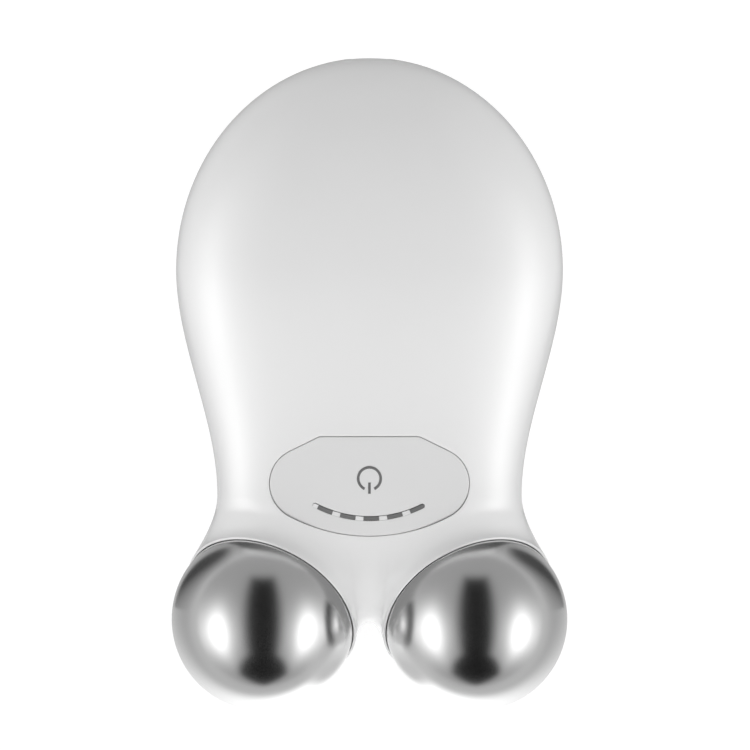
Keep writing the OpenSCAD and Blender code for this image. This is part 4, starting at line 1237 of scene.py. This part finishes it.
# %% [markdown]
# ### A tent for the reflections
# Polished spheres show the whole room, so such things are shot inside a tent of grey cloth. Here it is
# a half ball that only reflections see. The light behind its cloth glows wide and soft at both sides,
# with a brighter core, and a black flag hangs overhead from front to back. The flag gives the chrome
# its dark core, and it spreads towards the front. Beyond the palm's end the cloth is plain. All angles
# are in degrees, across and along the device, from straight up.

# %% The tent
TENT_R, TENT_GREY = 6.0, 0.37
WIDE_GLOW, WIDE_ACROSS, WIDE_ALONG = 0.65, (68, 31), (-14, 28)   # strength, then middle and spread
CORE_GLOW, CORE_ACROSS, CORE_ALONG = 1.3, (58, 12), (-14, 23)
FLAG_EDGE, FLAG_BLACK = 13.0, 0.02
bpy.ops.object.select_all(action="DESELECT")
bpy.ops.mesh.primitive_uv_sphere_add(segments=64, ring_count=32, radius=TENT_R)
tent = bpy.context.object
tent.name = "tent"
edit(tent, lambda: bpy.ops.mesh.bisect(plane_co=(0, 0, 0), plane_no=UP, clear_inner=True))
material, tree, emission = glowing("tent_cloth")
x, y, z = place_on(tree)
across = math_node(tree, "DEGREES", math_node(tree, "ARCTAN2", math_node(tree, "ABSOLUTE", x), z))
along = math_node(tree, "DEGREES", math_node(tree, "ARCSINE", math_node(tree, "DIVIDE", y, TENT_R)))
wide = math_node(tree, "MULTIPLY", bell_at(tree, across, *WIDE_ACROSS), bell_at(tree, along, *WIDE_ALONG))
core = math_node(tree, "MULTIPLY", bell_at(tree, across, *CORE_ACROSS), bell_at(tree, along, *CORE_ALONG))
lit = math_node(tree, "ADD", math_node(tree, "MULTIPLY", wide, WIDE_GLOW),
                math_node(tree, "MULTIPLY", core, CORE_GLOW))
flag_edge = ranged(tree, along, -42, -64, 16, 56)
outside = math_node(tree, "DIVIDE", math_node(tree, "SUBTRACT", across, flag_edge), FLAG_EDGE)
beyond = ranged(tree, along, 50, 60)
clear = math_node(tree, "MAXIMUM", math_node(tree, "MINIMUM", outside, 1.0), beyond)
clear = math_node(tree, "MAXIMUM", clear, FLAG_BLACK)
total = math_node(tree, "MULTIPLY", math_node(tree, "ADD", lit, TENT_GREY), clear)
tree.links.new(total, emission.inputs["Strength"])
tree.links.new(emission.outputs["Emission"], tree.nodes["Material Output"].inputs["Surface"])
tent.data.materials.append(material)
tent.visible_camera = tent.visible_diffuse = tent.visible_shadow = False
print("tent:", len(tent.data.polygons), "faces")

# %% [markdown]
# ## The floor
# The floor is pale matte board and keeps the device's soft shadow. A background that is simply white
# would lose that shadow, so for the camera the board is only lifted towards white by a share of glow.
# In reflections it is only glow: a painted pool of light just in front of the device, and a painted
# shadow of the device that leaves it greyer close beside it, which gives the spheres their light foot.

# %% Floor
FLOOR_SIZE, FLOOR_LIFT, FLOOR_WHITE = 12.4, 0.7, 1.2
FRONT_GLOW, FRONT_X_BELL, FRONT_Y_BELL = 1.25, (0, 0.05), (-0.085, 0.045)
# in reflections the floor is painted grey near the device as its shadow, and lighter far from it
NEAR, FAR, PAINTED_SHADOW_GREY, FAR_GREY = 0.05, 0.2, 0.36, 0.55
bpy.ops.object.select_all(action="DESELECT")
bpy.ops.mesh.primitive_plane_add(size=FLOOR_SIZE)
floor = bpy.context.object
floor.name = "floor"
material, tree, emission = glowing("pale_floor")
matte = tree.nodes.new("ShaderNodeBsdfDiffuse")
matte.inputs["Color"].default_value = (0.8, 0.8, 0.8, 1)
path = tree.nodes.new("ShaderNodeLightPath")
x, y, z = place_on(tree)
out_from_device = math_node(tree, "SQRT", math_node(tree, "ADD", math_node(tree, "MULTIPLY", x, x),
                                                    math_node(tree, "MULTIPLY", y, y)))
# painted pool of light on the floor in front of the device, seen only in reflections
painted_light_spot = math_node(tree, "MULTIPLY", bell_at(tree, x, *FRONT_X_BELL), bell_at(tree, y, *FRONT_Y_BELL))
front_light = math_node(tree, "MULTIPLY", painted_light_spot, FRONT_GLOW)
mirrored = math_node(tree, "MAXIMUM", path.outputs["Is Glossy Ray"], path.outputs["Is Transmission Ray"])
glow = tree.nodes.new("ShaderNodeMix")
glow.inputs["A"].default_value = FLOOR_WHITE
tree.links.new(mirrored, glow.inputs["Factor"])
# painted shadow of the device: in reflections the floor is greyer close to it, lighter further out
floor_tone_with_painted_shadow = ranged(tree, out_from_device, NEAR, FAR, PAINTED_SHADOW_GREY, FAR_GREY)
tree.links.new(math_node(tree, "ADD", front_light, floor_tone_with_painted_shadow), glow.inputs["B"])
tree.links.new(glow.outputs["Result"], emission.inputs["Strength"])
lifted_for_camera = math_node(tree, "MULTIPLY", path.outputs["Is Camera Ray"], FLOOR_LIFT)
share = math_node(tree, "MAXIMUM", lifted_for_camera, mirrored)
blend = tree.nodes.new("ShaderNodeMixShader")
tree.links.new(share, blend.inputs["Fac"])
tree.links.new(matte.outputs["BSDF"], blend.inputs[1])
tree.links.new(emission.outputs["Emission"], blend.inputs[2])
tree.links.new(blend.outputs["Shader"], tree.nodes["Material Output"].inputs["Surface"])
floor.data.materials.append(material)
print("floor:", FLOOR_SIZE, "m wide")

# %% [markdown]
# ### Cards that only reflections see
# Chrome gets its form from dark lines near its edge. Small cards beside the spheres paint these in as
# reflections: two dark ones outside paint dark reflections, and a grey one between the spheres paints a
# grey reflection where each would mirror the other as one bright spot. Each card fades out to its
# edges, since a hard edge would show as a line in the metal, and neither the camera nor the diffuse
# light sees it.


# %% Cards
def seen_in_mirrors(piece, draw):
    """Gives a piece a glow that only reflections see. draw(tree) returns its strength and its cover."""
    material, tree, emission = glowing(piece.name)
    strength, cover = draw(tree)
    tree.links.new(math_node(tree, "ADD", strength, 0.0), emission.inputs["Strength"])
    clear = tree.nodes.new("ShaderNodeBsdfTransparent")
    blend = tree.nodes.new("ShaderNodeMixShader")
    tree.links.new(cover, blend.inputs["Fac"])
    tree.links.new(clear.outputs["BSDF"], blend.inputs[1])
    tree.links.new(emission.outputs["Emission"], blend.inputs[2])
    tree.links.new(blend.outputs["Shader"], tree.nodes["Material Output"].inputs["Surface"])
    piece.data.materials.clear()
    piece.data.materials.append(material)
    piece.visible_camera = piece.visible_diffuse = piece.visible_shadow = False


def card_at(name, x, y_range, z_range, tone, y_bell, z_bell, fade):
    """An upright card along the device's length, which fades out to its edges."""
    bpy.ops.object.select_all(action="DESELECT")
    bpy.ops.mesh.primitive_plane_add(size=1, rotation=(0, math.radians(90), 0),
                                     location=(x, sum(y_range) / 2, sum(z_range) / 2))
    card = bpy.context.object
    card.scale = (z_range[1] - z_range[0], y_range[1] - y_range[0], 1)
    card.name = name
    settle(card)

    def draw(tree):
        x, y, z = place_on(tree)
        middle = math_node(tree, "MULTIPLY", bell_at(tree, y, *y_bell), bell_at(tree, z, *z_bell))
        return tone, ranged(tree, middle, *fade)

    seen_in_mirrors(card, draw)


# dark cards that paint dark reflections into the spheres' outer sides
for name, x in (("painted_reflection_dark_left", -0.046), ("painted_reflection_dark_right", 0.046)):
    card_at(name, x, (-0.038, 0.018), (-0.001, 0.029), 0.06, (-0.012, 0.026), (0.004, 0.02),
            (0.1, 0.6))
# a grey card that paints a grey reflection between the spheres
card_at("painted_reflection_grey", 0, (-0.074, -0.0418), (0.003, 0.038), 0.64, (-0.056, 0.012), (0.02, 0.013),
        (0.2, 0.9))

# %% [markdown]
# ### Painted shade over the shoulders
# Where the neck runs into the collars, a sheet that only reflections see lies a third of a millimetre
# over the shoulders and paints shade and light into both mirrors. From below, the skin's gloss shows a
# painted shade from a line above the collars on, which turns into a painted highlight towards the web;
# from above, the spheres show a painted shade near their collars, darker outwards. It is the copy of
# the form that was kept, trimmed to the front of the neck, without the collars' rims.


# %% Painted shade over the shoulders
SHADE_SHEET_START_Y, SHADE_SHEET_OVER_SEAM, SHADE_SHEET_LIFT, RIM_FREE = -14, 0.5, 0.35, 0.7


def on_rim(face):
    """True for a collar's rim and for the big faces that close the form."""
    side = 1 if face.calc_center_median().x > 0 else -1
    centre, axis = ball_frame(side)
    height = (face.calc_center_median() / MM - centre).dot(axis)
    return len(face.verts) > 8 or height > -(rim_back + RIM_FREE)


def trim_shade_sheet():
    keep_side((0, SHADE_SHEET_START_Y, 0), Vector((0, -1, 0)), False)
    bpy.ops.mesh.select_all(action="SELECT")
    keep_side((0, 0, seam_z + SHADE_SHEET_OVER_SEAM), UP, False)
    select_where(shoulders, "FACE", on_rim)
    bpy.ops.mesh.delete(type="FACE")


def painted_shade_tone(tree):
    """The skin mirrors the sheet from below: a painted shade from a line above the collars on, which turns
    into a painted highlight towards the web. The spheres mirror it from above: a painted shade that starts
    further up and is darker outwards."""
    x, y, z = place_on(tree)
    out = math_node(tree, "ABSOLUTE", x)
    below = tree.nodes.new("ShaderNodeNewGeometry").outputs["Backfacing"]
    sphere_edge, edge_fade = -0.015, 0.001
    skin_edge = ranged(tree, out, 0.012, 0.021, -0.0228, -0.0215)
    edge = ranged(tree, below, 0, 1, sphere_edge, skin_edge)
    cover = ranged(tree, math_node(tree, "SUBTRACT", edge, y), 0.0, edge_fade)
    # painted shade in the spheres near the collars, darker outwards
    sphere_painted_shade = ranged(tree, out, 0.010, 0.024, 0.28, 0.07)
    # painted shade in the skin's gloss, turning into a painted highlight towards the web
    skin_painted_shade_and_highlight = ranged(tree, y, -0.032, -0.041, 0.1, 1.4)
    return ranged(tree, below, 0, 1, sphere_painted_shade, skin_painted_shade_and_highlight), cover


# the sheet of painted shade, lifted off the skin and seen only in reflections
edit(shoulders, trim_shade_sheet)
for vertex in shoulders.data.vertices:
    vertex.co += SHADE_SHEET_LIFT * MM * vertex.normal
seen_in_mirrors(shoulders, painted_shade_tone)
print("shoulder flag:", len(shoulders.data.polygons), "faces")

# %% [markdown]
# ## The world
# The world fills what the set leaves open. It is white for the camera and in reflections, so that the
# background stays clean, and a mid grey for diffuse light, so that the softboxes still draw the form.

# %% World
WORLD_GREY = 0.48
world = bpy.data.worlds.new("surroundings")
bpy.context.scene.world = world
world.use_nodes = True
tree = world.node_tree
background = tree.nodes["Background"]
background.inputs["Color"].default_value = (1, 1, 1, 1)
path = tree.nodes.new("ShaderNodeLightPath")
seen = math_node(tree, "MAXIMUM", path.outputs["Is Camera Ray"], math_node(
    tree, "MAXIMUM", path.outputs["Is Glossy Ray"], path.outputs["Is Transmission Ray"]))
tree.links.new(ranged(tree, seen, 0, 1, WORLD_GREY, 1.0), background.inputs["Strength"])
print("world:", world.name)

# %% [markdown]
# ## View settings
# A filmic curve would grey the whites and dull the chrome, so the plain transform is used.

# %% View settings
bpy.context.scene.view_settings.view_transform = "Standard"
print("view transform:", bpy.context.scene.view_settings.view_transform)
